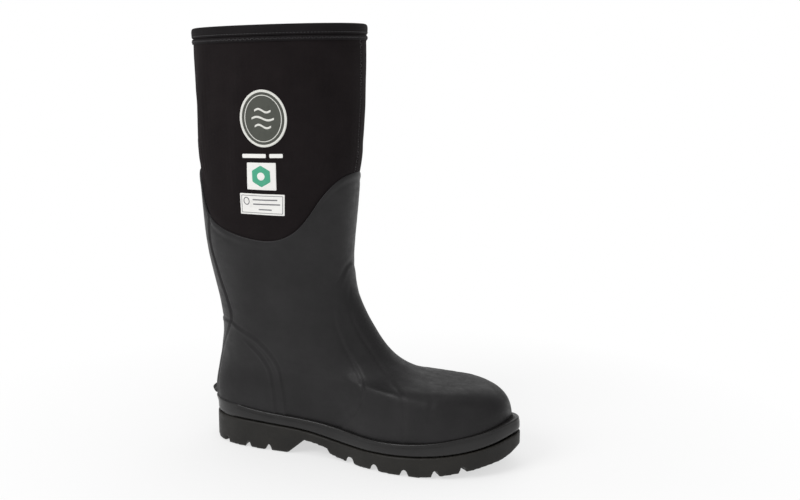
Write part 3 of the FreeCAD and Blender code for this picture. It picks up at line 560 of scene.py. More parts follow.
def shell_relief(p, n):
    # moulded relief in millimetres: p holds outer surface points on the lateral half, n their normals
    x, z = p[..., 0], p[..., 2]
    d = np.zeros(x.shape)
    s = along(x, z, n, round_poly(VAMP))
    d += .55 * (1 - sstep(-1.6, 1.6, s)) + .18 * np.exp(-((s + 2.8) / 2.0) ** 2) - .30 * np.exp(-((s - 2.2) / 1.8) ** 2)
    s = along(x, z, n, round_poly(COUNTER))
    d += .52 * (1 - sstep(-1.0, 1.0, s)) + .34 * np.exp(-((s + 2.1) / 1.5) ** 2) - .28 * np.exp(-((s - 1.8) / 1.4) ** 2)
    s = along(x, z, n, round_poly(COUNTER_IN))
    fade = 1 - sstep(98, 112, z)
    d += fade * (.34 * (1 - sstep(-1.0, 1.0, s)) + .38 * np.exp(-((s + 1.9) / 1.4) ** 2) - .32 * np.exp(-((s - 1.7) / 1.4) ** 2))
    s = along(x, z, n, round_poly(ACH))
    low = .45 + .55 * sstep(105, 128, z)
    d += low * (.66 * (1 - sstep(-.9, .8, s)) - .95 * np.exp(-((s - 1.5) / 1.3) ** 2))
    s = poly_dist3(p, FLEX1)
    k = .55 + .45 * sstep(135, 110, z)
    d += k * (.10 * np.exp(-((s - 4.0) / 2.8) ** 2) - .40 * np.exp(-(s / 2.3) ** 2))
    s = poly_dist3(p, FLEX2)
    d += .10 * np.exp(-((s - 4.6) / 2.8) ** 2) - .20 * np.exp(-(s / 2.6) ** 2)
    # soft creases where the ankle bends, and hand-laid unevenness
    for a, b, amp, wd in (((141, -8, 178), (120, -40, 150), .40, 7.0), ((30, -30, 152), (70, -46, 146), .28, 8.0), ((150, -5, 196), (134, -34, 186), .25, 6.0)):
        d -= amp * np.exp(-(poly_dist3(p, [a, b]) / wd) ** 2)
    d += .16 * wobble(p, 46, 3) + .05 * wobble(p, 15, 5)
    return d


v_bot = cross(P, lambda x: zbase(x) + .25, -3, 4)
v_top = cross(P, lambda x: TOP(x), 11, 17.5)
R_OUT = 188
vi = rows_between(v_bot, v_top, R_OUT)
PO, NO = take(P, vi), take(N, vi)
NO /= np.linalg.norm(NO, axis=2, keepdims=True)
# the shoulder between the upper and the side of the foot is drawn softly
soft = (sstep(100, 135, PO[..., 0]) * sstep(50, 62, PO[..., 2]) * (1 - sstep(98, 116, PO[..., 2])) * (1 - sstep(228, 256, PO[..., 0])) * sstep(10, 26, np.abs(PO[..., 1])))[..., None]
soft[0] = soft[-1] = 0
for _ in range(60):
    avg = PO.copy()
    avg[1:-1] = (PO[:-2] + 2 * PO[1:-1] + PO[2:]) / 4
    avg = (np.roll(avg, 1, 1) + 2 * avg + np.roll(avg, -1, 1)) / 4
    PO = PO + (avg - PO) * soft
    avg = NO.copy()
    avg[1:-1] = (NO[:-2] + 2 * NO[1:-1] + NO[2:]) / 4
    NO = NO + (avg - NO) * soft
NO /= np.linalg.norm(NO, axis=2, keepdims=True)
rel = np.zeros((R_OUT, NC))
rel[:, :HALF + 1] = shell_relief(PO[:, :HALF + 1], NO[:, :HALF + 1])
rel = mirror_cols(rel)
wgt = np.interp(vi, IDX, W)
below_top = wgt[-1:] - wgt
rel += .45 * np.exp(-((below_top - 2.6) / 1.9) ** 2) - .22 * np.exp(-((below_top - 7.5) / 1.8) ** 2)   # rolled topline edge
outer = PO + NO * rel[..., None]
UP = take(P, np.clip(v_top[None, :] + 6, 0, NV - 2))[0] - take(P, v_top[None, :] - 2)[0]
UP /= np.linalg.norm(UP, axis=1, keepdims=True)
end_p, end_n, end_r = PO[-1], NO[-1], rel[-1]
lip = []
for a in (18, 40, 62, 84, 106, 130, 155, 180):
    ca, sa = math.cos(math.radians(a)), math.sin(math.radians(a))
    hgt = (1.8 + end_r) / 2
    lip.append(end_p + end_n * (end_r - hgt + hgt * ca)[:, None] + UP * (1.1 * sa))
R_IN = 14
vin = rows_between(v_top, v_bot, R_IN)
PI_, NI = take(P, vin), take(N, vin)
inner = PI_ - NI / np.linalg.norm(NI, axis=2, keepdims=True) * 1.8
shell = torus("rubber_shell", np.concatenate([outer, np.array(lip), inner[1:]], 0), M_SHELL)
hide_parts("foot_shell", "ankle_shell", "leg_shell", "heel_counter_overlay", "achilles_overlay", "vamp_overlay")
SHELL_BVH = BVHTree.FromPolygons(to_m(outer.reshape(-1, 3)).tolist(), grid_faces(R_OUT, NC))


# ------------------------------------------------------------------ neoprene bootie
def d_bootie(x, z):
    toe = sstep(194, 231, x) * (1 - sstep(100, 120, z))
    heel = (1 - sstep(80, 110, x)) * (1 - sstep(86, 97, z))
    return 1.98 + 1.92 * toe + 1.32 * heel


T_B = offset(d_bootie)
T_BI = offset(lambda x, z: d_bootie(x, z) + 4.4)
T_L = offset(lambda x, z: d_bootie(x, z) + 4.52)
T_LI = offset(lambda x, z: d_bootie(x, z) + 5.32 + 1.4 * (1 - sstep(92, 104, z)))
NECK = cross(P, lambda x: COLLAR_Z(x) - 1.2, 16, 20)


def cloth_relief(rows, cols):
    """Loose foam cloth between the topline and the collar: a tube of fabric with a little more cloth than it needs,
    held at both ends. Returns how far each point moved along the surface normal, in millimetres."""
    lo, hi = v_top + 2, NECK
    step = NC // cols
    vr = rows_between(lo, hi, rows)[:, ::step]
    cc = np.arange(0, NC, step)
    i = np.floor(vr).astype(int)
    f = (vr - i)[..., None]
    pp = P[i, cc[None, :]] * (1 - f) + P[i + 1, cc[None, :]] * f
    nn = N[i, cc[None, :]]
    o = mesh("cloth_tube", pp.reshape(-1, 3), grid_faces(rows, cols), None)
    pin = o.vertex_groups.new(name="pin")
    for r in range(rows):
        w = 1.0 if r in (0, rows - 1) else (.6 if r in (1, rows - 2) else 0.0)
        if w:
            pin.add([r * cols + c for c in range(cols)], w, "REPLACE")
    # a second vertex group, rest, is made but left empty; nothing uses it
    body = o.vertex_groups.new(name="rest")
    mod = o.modifiers.new("Cloth", "CLOTH")
    st = mod.settings
    st.quality = 6
    st.mass = .25
    st.tension_stiffness = st.compression_stiffness = 12
    st.shear_stiffness = 6
    st.bending_stiffness = 1.6
    st.vertex_group_mass = "pin"
    st.shrink_min = -.022
    st.use_pressure = True
    st.uniform_pressure_force = .6
    st.effector_weights.gravity = .35
    mod.collision_settings.use_self_collision = False
    mod.point_cache.frame_start, mod.point_cache.frame_end = 1, 30
    for fr in range(1, 27):
        SCN.frame_set(fr)
    dg = bpy.context.evaluated_depsgraph_get()
    ev = o.evaluated_get(dg).to_mesh()
    co = np.zeros(len(ev.vertices) * 3)
    ev.vertices.foreach_get("co", co)
    co = co.reshape(rows, cols, 3)
    rest = to_m(pp)
    move = ((co - rest) * nn).sum(-1) * 1000
    o.evaluated_get(dg).to_mesh_clear()
    SCN.frame_set(1)
    me = o.data
    bpy.data.objects.remove(o)
    bpy.data.meshes.remove(me)
    return move, lo, hi


def neoprene_fold(vi, cols):
    # interpolates the simulated movement onto a finer grid of row indices
    if CLOTH is None:
        return np.zeros(vi.shape)
    move, lo, hi = CLOTH
    wl, wh, w = np.interp(lo, IDX, W), np.interp(hi, IDX, W), np.interp(vi, IDX, W)
    r = np.clip((w - wl) / (wh - wl), 0, 1) * (move.shape[0] - 1)
    c = np.broadcast_to((cols / NC * move.shape[1])[None, :], r.shape)
    r0, c0 = np.clip(np.floor(r).astype(int), 0, move.shape[0] - 2), np.floor(c).astype(int)
    fr, fc = r - r0, c - c0
    fr, fc = fr * fr * (3 - 2 * fr), fc * fc * (3 - 2 * fc)
    c0, c1 = c0 % move.shape[1], (c0 + 1) % move.shape[1]
    return (move[r0, c0] * (1 - fr) * (1 - fc) + move[r0 + 1, c0] * fr * (1 - fc) + move[r0, c1] * (1 - fr) * fc + move[r0 + 1, c1] * fr * fc)


CLOTH = None
mv, lo_, hi_ = cloth_relief(46, 92)
mv = mv - np.median(mv)
for _ in range(2):
    mv = (np.roll(mv, 1, 1) + 2 * mv + np.roll(mv, -1, 1)) / 4
    mv[1:-1] = (mv[:-2] + 2 * mv[1:-1] + mv[2:]) / 4
print("cloth moved", round(float(mv.min()), 2), round(float(mv.max()), 2), "mm")
CLOTH = (np.clip(mv, -1.6, 1.6), lo_, hi_)

R_HID, R_VIS = 30, 116
v_b2 = cross(T_B, lambda x: zbase(x) + 11.2, -3, 5)
hid = rows_between(v_b2, v_top - 3, R_HID)
vis = rows_between(v_top, NECK, R_VIS)
P_V, N_V = take(P, vis), take(N, vis)
N_V /= np.linalg.norm(N_V, axis=2, keepdims=True)
up_v = np.interp(vis, IDX, W)
dist_up = up_v - up_v[:1]
dist_dn = up_v[-1:] - up_v
fold = neoprene_fold(vis, np.arange(NC, dtype=float)) * sstep(3, 26, dist_up) * sstep(2, 20, dist_dn)
dep = .15 + 1.35 * np.exp(-dist_up / 4.5) + .7 * np.exp(-dist_dn / 6.0) - fold * .8 - .22 * wobble(P_V, 70, 11) - .07 * wobble(P_V, 24, 12)
SEAM_F = [(158.5, -5, 408), (157, -4, 377), (156, -3, 340), (152, -3, 294), (150, -3, 262)]
SEAM_B = [(-15.5, 0, 405), (-13, 0, 335), (-11, 0, 285), (-9.5, 0, 262)]
for sm in (SEAM_F, SEAM_B):
    s = poly_dist3(P_V, sm)
    dep += .55 * np.exp(-(s / 1.0) ** 2) - .25 * np.exp(-((s - 2.6) / 1.2) ** 2)
vis_rows = P_V - N_V * np.maximum(dep, -1.2)[..., None]
in_rows = take(T_BI, rows_between(NECK, v_b2, 30))
boot_rows = np.concatenate([take(T_B, hid), vis_rows, in_rows], 0)
bootie = torus("neoprene_bootie", boot_rows, M_NEO)
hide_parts("bootie_foot", "bootie_ankle", "bootie_leg")
NEO_BVH = BVHTree.FromPolygons(to_m(vis_rows.reshape(-1, 3)).tolist(), grid_faces(R_VIS, NC))


# ------------------------------------------------------------------ lining, one sock of mesh with a floor
def half_cols(t):
    return t[:, ::2]


v_b3 = cross(T_L, lambda x: zbase(x) + 15.45, -3, 5)
v_b4 = cross(T_LI, lambda x: zbase(x) + 16.2, -3, 5)
neck_l = cross(T_L, lambda x: COLLAR_Z(x) - .2, 16, 20)
lo_rows = take(T_L, rows_between(v_b3, neck_l, 70))[:, ::2]
li_v = rows_between(neck_l, v_b4, 120)
li_rows = take(T_LI, li_v)
li_n = take(N, li_v)
w_l = np.interp(li_v, IDX, W)
li_rows = (li_rows + li_n * (.25 * wobble(li_rows, 60, 21) - .1)[..., None])[:, ::2]
lrows = np.concatenate([lo_rows, li_rows], 0)
LC = NC // 2
lv = lrows.reshape(-1, 3)
lf = grid_faces(lrows.shape[0], LC, False, True)
hl = LC // 2


def floor_mesh(ring, across, base, drop, flip):
    # bridges the lateral columns to their medial twins
    verts, faces = [], []
    for j in range(1, hl):
        a, b = ring[j], ring[LC - j]
        for k in range(across + 1):
            t = k / across
            p = a * (1 - t) + b * t
            p[2] -= drop * math.sin(math.pi * t) * min(1, j / 8, (hl - j) / 8)
            verts.append(p)
    n = across + 1
    for j in range(hl - 2):
        for k in range(across):
            q = [base + j * n + k, base + j * n + k + 1, base + (j + 1) * n + k + 1, base + (j + 1) * n + k]
            faces.append(q[::-1] if flip else q)
    for end, j in ((ring[0], 0), (ring[hl], hl - 2)):
        e = base + len(verts)
        verts.append(end)
        for k in range(across):
            q = [e, base + j * n + k, base + j * n + k + 1]
            faces.append(q if (j == 0) != flip else q[::-1])
    return verts, faces


bot_out, bot_in = lrows[0], lrows[-1]
v1, f1 = floor_mesh(bot_in, 24, len(lv), .25, True)
v2, f2 = floor_mesh(bot_out, 24, len(lv) + len(v1), .25, False)
lining = mesh("lining_sock", np.concatenate([lv, np.array(v1), np.array(v2)]), lf + f1 + f2, M_LIN)
bm = bmesh.new()
bm.from_mesh(lining.data)
bmesh.ops.remove_doubles(bm, verts=bm.verts, dist=1e-6)
bmesh.ops.recalc_face_normals(bm, faces=bm.faces)
bm.to_mesh(lining.data)
bm.free()
lining.data.polygons.foreach_set("use_smooth", np.ones(len(lining.data.polygons), bool))
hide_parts("lining_foot", "lining_ankle", "lining_leg")

# ------------------------------------------------------------------ footbed
T_F = offset(lambda x, z: d_bootie(x, z) + 4.4 + .12 + 2.2 + 1.6)[:, ::2]


def bed_ring(h):
    full = np.repeat(T_F, 1, 1)
    f = full[..., 2] - (zbase(full[..., 0]) + h)
    b = int(8 / 23 * (NV - 1))
    i = np.clip(np.argmax(f[:b] > 0, axis=0), 1, b - 1)
    c = np.arange(LC)
    t = f[i - 1, c] / (f[i - 1, c] - f[i, c])
    return full[i - 1, c] * (1 - t)[:, None] + full[i, c] * t[:, None]


def footbed():
    r0 = bed_ring(16.5)
    mid = np.stack([r0[:, 0], np.zeros(LC), r0[:, 2]], -1)
    rows = []
    # bottom centre outwards, round the edge, top inwards; the centre line is the average of lateral and medial twins
    twin = np.concatenate([[0], np.arange(LC - 1, 0, -1)])
    spine = (r0 + r0[twin]) / 2

    def ring(f, h, cup=0.0):
        p = spine + (r0 - spine) * f
        dz = h + cup * (1 - sstep(70, 130, p[:, 0]))
        q = p.copy()
        q[:, 2] = zbase(q[:, 0]) + dz
        return q
    for f in (.02, .3, .6, .85, .97):
        rows.append(ring(f, 16.5))
    rows += [ring(.985, 16.9), ring(.99, 18.4), ring(.992, 20.2), ring(.99, 21.2), ring(.982, 21.35, .25), ring(.975, 21.40, .3), ring(.972, 21.62, .3), ring(.968, 22.05, .3), ring(.955, 22.3, .25)]
    for f, h, cu in ((.93, 22.35, .1), (.9, 22.32, -.1), (.85, 22.25, -.35), (.78, 22.2, -.55), (.7, 22.15, -.65), (.6, 22.15, -.7), (.5, 22.15, -.7), (.4, 22.15, -.7), (.3, 22.15, -.7), (.2, 22.15, -.7), (.1, 22.15, -.7), (.02, 22.15, -.7)):
        r = ring(f, h, cu)
        r[:, 2] += .12 * wobble(r, 30, 9)
        rows.append(r)
    rows = np.array(rows)
    o = mesh("footbed", rows.reshape(-1, 3), grid_faces(rows.shape[0], LC, False, True), M_BEDC)
    bm = bmesh.new()
    bm.from_mesh(o.data)
    bmesh.ops.remove_doubles(bm, verts=bm.verts, dist=2e-5)
    bmesh.ops.holes_fill(bm, edges=[e for e in bm.edges if e.is_boundary], sides=0)
    bmesh.ops.recalc_face_normals(bm, faces=bm.faces)
    bm.to_mesh(o.data)
    bm.free()
    o.data.materials.append(M_FBED)
    for p in o.data.polygons:
        p.use_smooth = True
        c = p.center
        x = c.x * 1000 + OX
        if c.z * 1000 < zbase(x) + 21.38:
            p.material_index = 1
    return o


bed = footbed()
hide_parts("footbed_foam", "footbed_cover")
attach(bed, "footbed")


# ------------------------------------------------------------------ outsole: the tread with its moulded edges rounded over
def outsole():
    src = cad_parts["outsole"]
    me = src.data.copy()
    o = bpy.data.objects.new("tread_sole", me)
    SCN.collection.objects.link(o)
    bm = bmesh.new()
    bm.from_mesh(me)
    bmesh.ops.remove_doubles(bm, verts=bm.verts, dist=1e-6)
    bm.to_mesh(me)
    bm.free()
    rm = o.modifiers.new("r", "REMESH")
    rm.mode = "VOXEL"
    rm.voxel_size = .00125
    rm.use_smooth_shade = True
    sm = o.modifiers.new("s", "SMOOTH")
    sm.factor, sm.iterations = .5, 3
    dg = bpy.context.evaluated_depsgraph_get()
    new = bpy.data.meshes.new_from_object(o.evaluated_get(dg))
    o.modifiers.clear()
    o.data = new
    bpy.data.meshes.remove(me)
    new.materials.clear()
    new.materials.append(M_SOLE)
    new.polygons.foreach_set("use_smooth", np.ones(len(new.polygons), bool))
    print("tread faces", len(new.polygons))
    return o


sole = outsole()
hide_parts("outsole")
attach(sole, "foot")


# ------------------------------------------------------------------ foxing strip: a band with a rolled upper lip
def plan_outline(n, inset=0.0):
    pts = np.array(OL[1:-1] + [OL[-1]] + OM[-2:0:-1] + [OM[0]], float)
    ext = np.concatenate([pts[-4:], pts, pts[:5]])
    s = np.concatenate([[0], np.cumsum(np.linalg.norm(np.diff(ext, axis=0), axis=1))])
    fx_, fy_ = spline(s, ext[:, 0]), spline(s, ext[:, 1])
    a, b = s[4], s[4 + len(pts)]
    t = np.linspace(a, b, n, endpoint=False)
    q = np.stack([fx_(t), fy_(t)], -1)
    d = np.roll(q, -1, 0) - np.roll(q, 1, 0)
    nrm = np.stack([d[:, 1], -d[:, 0]], -1)
    nrm /= np.linalg.norm(nrm, axis=1, keepdims=True)
    return q - nrm * inset, nrm


def foxing():
    n = 520
    q, nr = plan_outline(n)
    zg, zt = F_G(q[:, 0]) + .35, F_T(q[:, 0])
    # distance from the plan outline in to the shell, at a few heights
    def gap(z):
        g = np.zeros(n)
        for i in range(n):
            o = Vector(to_m(np.array([q[i, 0] + nr[i, 0] * 12, q[i, 1] + nr[i, 1] * 12, z[i]])).tolist())
            hit = SHELL_BVH.ray_cast(o, Vector((-nr[i, 0], -nr[i, 1], 0)), .08)
            g[i] = hit[3] * 1000 - 12 if hit[0] is not None else 4.0
        for _ in range(3):
            g = (np.roll(g, 1) + 2 * g + np.roll(g, -1)) / 4
        return g
    prof = [(-3.2, 0, .10), (-2.2, 0, .30), (-1.35, 0, .95), (-.80, 0, 1.9), (-.52, 0, 3.0), (-.45, .35, 0), (-.55, .6, 0), (-.85, 1, -3.4), (-1.10, 1, -2.3), (-1.18, 1, -1.5), (-1.30, 1, -.85), (-1.62, 1, -.32), (-2.1, 1, -.08), (-2.8, 1, -.02)]
    rows = []
    for off, fr, dz in prof:
        z = zg + (zt - zg) * fr + dz
        g = gap(z)
        o = np.maximum(off, -g + (.9 if fr < 1 or dz < -.5 else .45))
        rows.append(np.stack([q[:, 0] + nr[:, 0] * o, q[:, 1] + nr[:, 1] * o, z], -1))
    z = zt - .35
    g = gap(z)
    rows.append(np.stack([q[:, 0] - nr[:, 0] * (g + .3), q[:, 1] - nr[:, 1] * (g + .3), z], -1))
    z = zg + .2
    g = np.maximum(gap(z), 1.0)
    rows.append(np.stack([q[:, 0] - nr[:, 0] * (g + .3), q[:, 1] - nr[:, 1] * (g + .3), z], -1))
    return torus("foxing_band", np.array(rows), M_FOX)


fox = foxing()
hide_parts("foxing_strip")
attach(fox, "foot")


# ------------------------------------------------------------------ kick spur: a thin curved flange above the heel
def kick_spur():
    rows = []
    ny = 48
    ys = np.linspace(-1, 1, ny)
    prof = [(-.6, -.4), (1.4, -.3), (2.8, .5), (4.0, 2.1), (4.9, 4.0), (5.15, 4.9), (4.95, 5.35), (4.45, 5.2), (3.9, 4.4), (3.0, 3.2), (2.0, 2.4), (.8, 2.0), (-.6, 2.0)]
    tab = []
    for y in ys:
        yy = y * 15.0
        o = Vector(to_m(np.array([-40.0, yy, 47.0])).tolist())
        hit = SHELL_BVH.ray_cast(o, Vector((1, 0, 0)), .1)
        p, nn = hit[0], hit[1]
        nn = Vector((nn.x, nn.y, 0)).normalized()
        if nn.x > 0:
            nn = -nn
        tab.append((np.array([p.x * 1000 + OX, p.y * 1000, 0]), np.array(nn)))
    for k, (off, dz) in enumerate(prof):
        row = []
        for (p, nn), y in zip(tab, ys):
            e = math.sqrt(max(0.0, 1 - abs(y) ** 5))
            out = off * (e if off > 0 else 1)
            z = 44.6 + .8 + (dz - .8) * (.25 + .75 * e) - abs(y) * .5
            row.append(p + nn * out + np.array([0, 0, z]))
        rows.append(row)
    rows = np.array(rows)
    r, c = rows.shape[:2]
    verts = rows.reshape(-1, 3)
    faces = grid_faces(r, c, True, False, flip=False)
    faces += [[k * c for k in range(r)][::-1], [k * c + c - 1 for k in range(r)]]
    o = mesh("kick_spur_flange", verts, faces, M_FOX)
    bm = bmesh.new()
    bm.from_mesh(o.data)
    bmesh.ops.recalc_face_normals(bm, faces=bm.faces)
    bm.to_mesh(o.data)
    bm.free()
    return o


spur = kick_spur()
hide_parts("heel_kick_spur")
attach(spur, "foot")


# ------------------------------------------------------------------ collar: rolled binding over the raw edge, and a second tape below it
def collar_ring(dz, off, phase=0.0, rip=0.0):
    # a ring at height dz above the collar plane, off outward from the outer surface
    vi_ = cross(P, lambda x: COLLAR_Z(x) + dz, 15, 20)
    p, nn = take(P, vi_[None, :])[0], take(N, vi_[None, :])[0]
    nn = nn / np.linalg.norm(nn, axis=1, keepdims=True)
    nn[:, 2] *= .2
    r = rip * np.sin(np.arange(NC) * 2 * math.pi * 100 / NC + phase)
    return p + nn * (off + r)[:, None]


def sweep(name, prof, mat, rip=0.0, swell=0.0):
    rows = []
    for k, (off, dz) in enumerate(prof):
        ring = collar_ring(dz, off + swell * np.sin(np.arange(NC) * 2 * math.pi * 3 / NC + 1.0), k * .35, rip)
        rows.append(ring)
    return torus(name, np.array(rows), mat)


bind_prof = [(.05, -7.2), (.45, -7.3), (.80, -6.9), (.98, -6.0), (1.05, -4.6), (1.12, -3.0), (1.10, -1.4), (.92, 0.0), (.45, 1.2), (-.4, 2.0), (-1.5, 2.38), (-2.9, 2.45), (-4.4, 2.42), (-5.9, 2.25),
             (-7.1, 1.8), (-8.1, 1.0), (-8.7, -.1), (-8.85, -1.8), (-8.8, -3.6), (-8.65, -5.3), (-8.35, -6.6), (-7.9, -7.1), (-7.45, -6.9), (-7.4, -4), (-7.4, -.2), (-7.1, .25), (-3, .3), (-.2, .3), (-.1, -.3), (.0, -4)]
bind = sweep("collar_roll", bind_prof, M_BIND, .06, .12)
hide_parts("collar_binding")
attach(bind, "shaft")
tape_prof = [(-.5, -12.6), (.45, -12.75), (.82, -12.3), (1.0, -11.2), (1.02, -10.1), (.92, -9.1), (.62, -8.4), (.1, -8.1), (-.5, -8.1)]
tape = sweep("collar_tape_band", tape_prof, M_BIND, .05, .1)
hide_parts("collar_tape")
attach(tape, "shaft")


def stitches(name, pts, nrm, tan, length, rad, mat):
    # short thread loops: each is a bent rod that dives into the cloth at both ends
    vs, fs = [], []
    sides, seg = 6, 6
    for p, nn, t in zip(pts, nrm, tan):
        b = np.cross(nn, t)
        base = len(vs)
        for k in range(seg + 1):
            u = k / seg
            c = p + t * (u - .5) * length + nn * (rad * 1.1 * math.sin(math.pi * u) - rad * .45)
            r = rad * (.45 + .55 * math.sin(math.pi * min(1, max(0, u))) ** .5)
            for q in range(sides):
                a = 2 * math.pi * q / sides
                vs.append(c + (nn * math.cos(a) + b * math.sin(a)) * r)
        for k in range(seg):
            for q in range(sides):
                fs.append([base + k * sides + q, base + k * sides + (q + 1) % sides, base + (k + 1) * sides + (q + 1) % sides, base + (k + 1) * sides + q])
        fs.append([base + q for q in range(sides)][::-1])
        fs.append([base + seg * sides + q for q in range(sides)])
    o = mesh(name, np.array(vs), fs, mat)
    bm = bmesh.new()
    bm.from_mesh(o.data)
    bmesh.ops.recalc_face_normals(bm, faces=bm.faces)
    bm.to_mesh(o.data)
    bm.free()
    return o


def ring_stitches(name, dz, off, count, length, rad, mat, zig=0.0):
    ring = collar_ring(dz, off * np.ones(NC))
    hi_ = collar_ring(dz + 1.0, off * np.ones(NC))
    s = np.concatenate([[0], np.cumsum(np.linalg.norm(np.roll(ring, -1, 0) - ring, axis=1))])
    t = np.linspace(0, s[-1], count, endpoint=False)
    cl = np.vstack([ring, ring[:1]])
    ch = np.vstack([hi_, hi_[:1]])
    p = np.stack([np.interp(t, s, cl[:, k]) for k in range(3)], -1)
    p2 = np.stack([np.interp(t + .5, s, cl[:, k]) for k in range(3)], -1)
    ph = np.stack([np.interp(t, s, ch[:, k]) for k in range(3)], -1)
    tan = p2 - p
    tan /= np.linalg.norm(tan, axis=1, keepdims=True)
    up = ph - p
    up /= np.linalg.norm(up, axis=1, keepdims=True)
    nn = np.cross(tan, up)
    if zig:
        sg = np.where(np.arange(count) % 2 == 0, 1, -1)[:, None]
        tan = tan + up * zig * sg
        tan /= np.linalg.norm(tan, axis=1, keepdims=True)
    return stitches(name, p, nn, tan, length, rad, mat)


st1 = ring_stitches("binding_stitches", -5.6, .95, 150, 2.3, .28, M_THREAD)
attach(st1, "shaft")
st2 = ring_stitches("tape_stitches", -10.4, 1.0, 190, 2.5, .25, M_THREAD, .9)
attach(st2, "shaft")


# ------------------------------------------------------------------ badge and labels, laid on the cloth of the lateral side
def on_cloth(x, z):
    o = Vector(((x - OX) * .001, -.2, z * .001))
    hit = NEO_BVH.ray_cast(o, Vector((0, 1, 0)), .4)
    p, nn = hit[0], hit[1]
    if nn.y > 0:
        nn = -nn
    return np.array([p.x * 1000 + OX, p.y * 1000, p.z * 1000]), np.array(nn)


def patch(name, outline, mat, thick=.6, sink=.35, rings=14, bead=0.0, bead_w=1.4, ripple=0, hole=None, lift=0.0, quilt=0.0):
    """A flat piece laid on the cloth: concentric rings of the outline, top, rounded edge and underside."""
    out = np.array(outline, float)
    n = len(out)
    cen = out.mean(0)
    inn = None if hole is None else np.array(hole, float)
    rows = []
    rad = np.linalg.norm(out - cen, axis=1).mean()
    # (fraction towards the edge, height)
    if inn is None:
        prof = [(f, thick) for f in np.linspace(.03, 1 - .9 / rad, rings)]
    else:
        prof = [(0, -sink), (0, thick * .5), (.04, thick * .85)] + [(f, thick) for f in np.linspace(.10, .9, rings)]
    prof += [(1 - .35 / rad if inn is None else .96, thick * .85), (1.0, thick * .45), (1.0, -sink)]
    cache = {}
    for f, h in prof:
        row = []
        for i in range(n):
            p2 = cen + (out[i] - cen) * f if inn is None else inn[i] + (out[i] - inn[i]) * f
            p, nn = on_cloth(p2[0], p2[1])
            edge_d = np.linalg.norm(out[i] - p2)
            hh = h + lift * (1 if h > 0 else 0)
            if bead and h > 0:
                hh += bead * math.exp(-((edge_d - bead_w) / (bead_w * .75)) ** 2) * (1 + .22 * math.sin(i * 2 * math.pi * ripple / n))
            row.append(p + nn * hh)
        rows.append(row)
    rows = np.array(rows)
    verts = rows.reshape(-1, 3)
    faces = grid_faces(rows.shape[0], n, inn is not None, True)
    if inn is None:
        faces += [[k for k in range(n)][::-1]]
        faces += [[(rows.shape[0] - 1) * n + k for k in range(n)]]
    o = mesh(name, verts, faces, mat)
    bm = bmesh.new()
    bm.from_mesh(o.data)
    bmesh.ops.recalc_face_normals(bm, faces=bm.faces)
    bm.to_mesh(o.data)
    bm.free()
    return o


def ellipse(cx, cz, a, b, n=160):
    return [(cx + a * math.cos(2 * math.pi * i / n), cz + b * math.sin(2 * math.pi * i / n)) for i in range(n)]


def rounded(pts, r=.8, per=22):
    pts = [np.array(p, float) for p in pts]
    out = []
    m = len(pts)
    for i in range(m):
        a, b, c = pts[i - 1], pts[i], pts[(i + 1) % m]
        u, w = (a - b) / np.linalg.norm(a - b), (c - b) / np.linalg.norm(c - b)
        p0, p1 = b + u * r, b + w * r
        for k in range(5):
            t = k / 4
            out.append((p0 * (1 - t) + b * t) * (1 - t) + (b * (1 - t) + p1 * t) * t)
        nxt = c + (b - c) / np.linalg.norm(b - c) * r
        for k in range(1, per):
            out.append(p1 + (nxt - p1) * k / per)
    return out


def scaled(pts, k):
    pts = np.array(pts, float)
    c = pts.mean(0)
    return (c + (pts - c) * k).tolist()


def add(o, node_name):
    if node_name:
        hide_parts(node_name)
    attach(o, "shaft")
    return o


BC = (81.4, 324.2)
add(patch("badge_field", ellipse(*BC, 23.0, 26.4), M_BFILL, .5), "badge_patch")
add(patch("badge_rim", ellipse(*BC, 22.9, 26.3, 360), M_BWHITE, .75, hole=ellipse(*BC, 20.6, 24.0, 360), rings=6, bead=.25, bead_w=1.0, ripple=120), "badge_border")
add(patch("badge_inner_ring", ellipse(*BC, 18.2, 21.6, 220), M_BWHITE, .65, hole=ellipse(*BC, 17.4, 20.8, 220), rings=3), None)
for i, dz in enumerate((7.2, 0.0, -7.2)):
    wv = 11.0 if i == 1 else 8.0
    top_ = [(BC[0] - wv + 2 * wv * k / 40, BC[1] + dz + 1.1 + 1.5 * math.sin(k / 40 * 2 * math.pi)) for k in range(41)]
    bot_ = [(x, z - 2.2) for x, z in top_][::-1]
    # a wave, as a thin strip
    st = np.array(top_ + bot_)
    nseg = 41
    verts, faces = [], []
    for (x0, z0), (x1, z1) in zip(top_, bot_[::-1]):
        for (xx, zz, h) in ((x0, z0, .3), (x0, z0 - .25, .75), ((x0 + x1) / 2, (z0 + z1) / 2, .85), (x1, z1 + .25, .75), (x1, z1, .3)):
            p, nn = on_cloth(xx, zz)
            verts.append(p + nn * h)
    for k in range(nseg - 1):
        for q in range(4):
            a = k * 5 + q
            faces.append([a, a + 1, a + 6, a + 5])
        faces.append([k * 5 + 4, k * 5, k * 5 + 5, k * 5 + 9])
    faces += [[0, 4, 3, 2, 1], [(nseg - 1) * 5 + q for q in range(5)]]
    o = mesh("badge_wave_%d" % (i + 1), np.array(verts), faces, M_BWHITE)
    bm = bmesh.new()
    bm.from_mesh(o.data)
    bmesh.ops.recalc_face_normals(bm, faces=bm.faces)
    bm.to_mesh(o.data)
    bm.free()
    add(o, None)

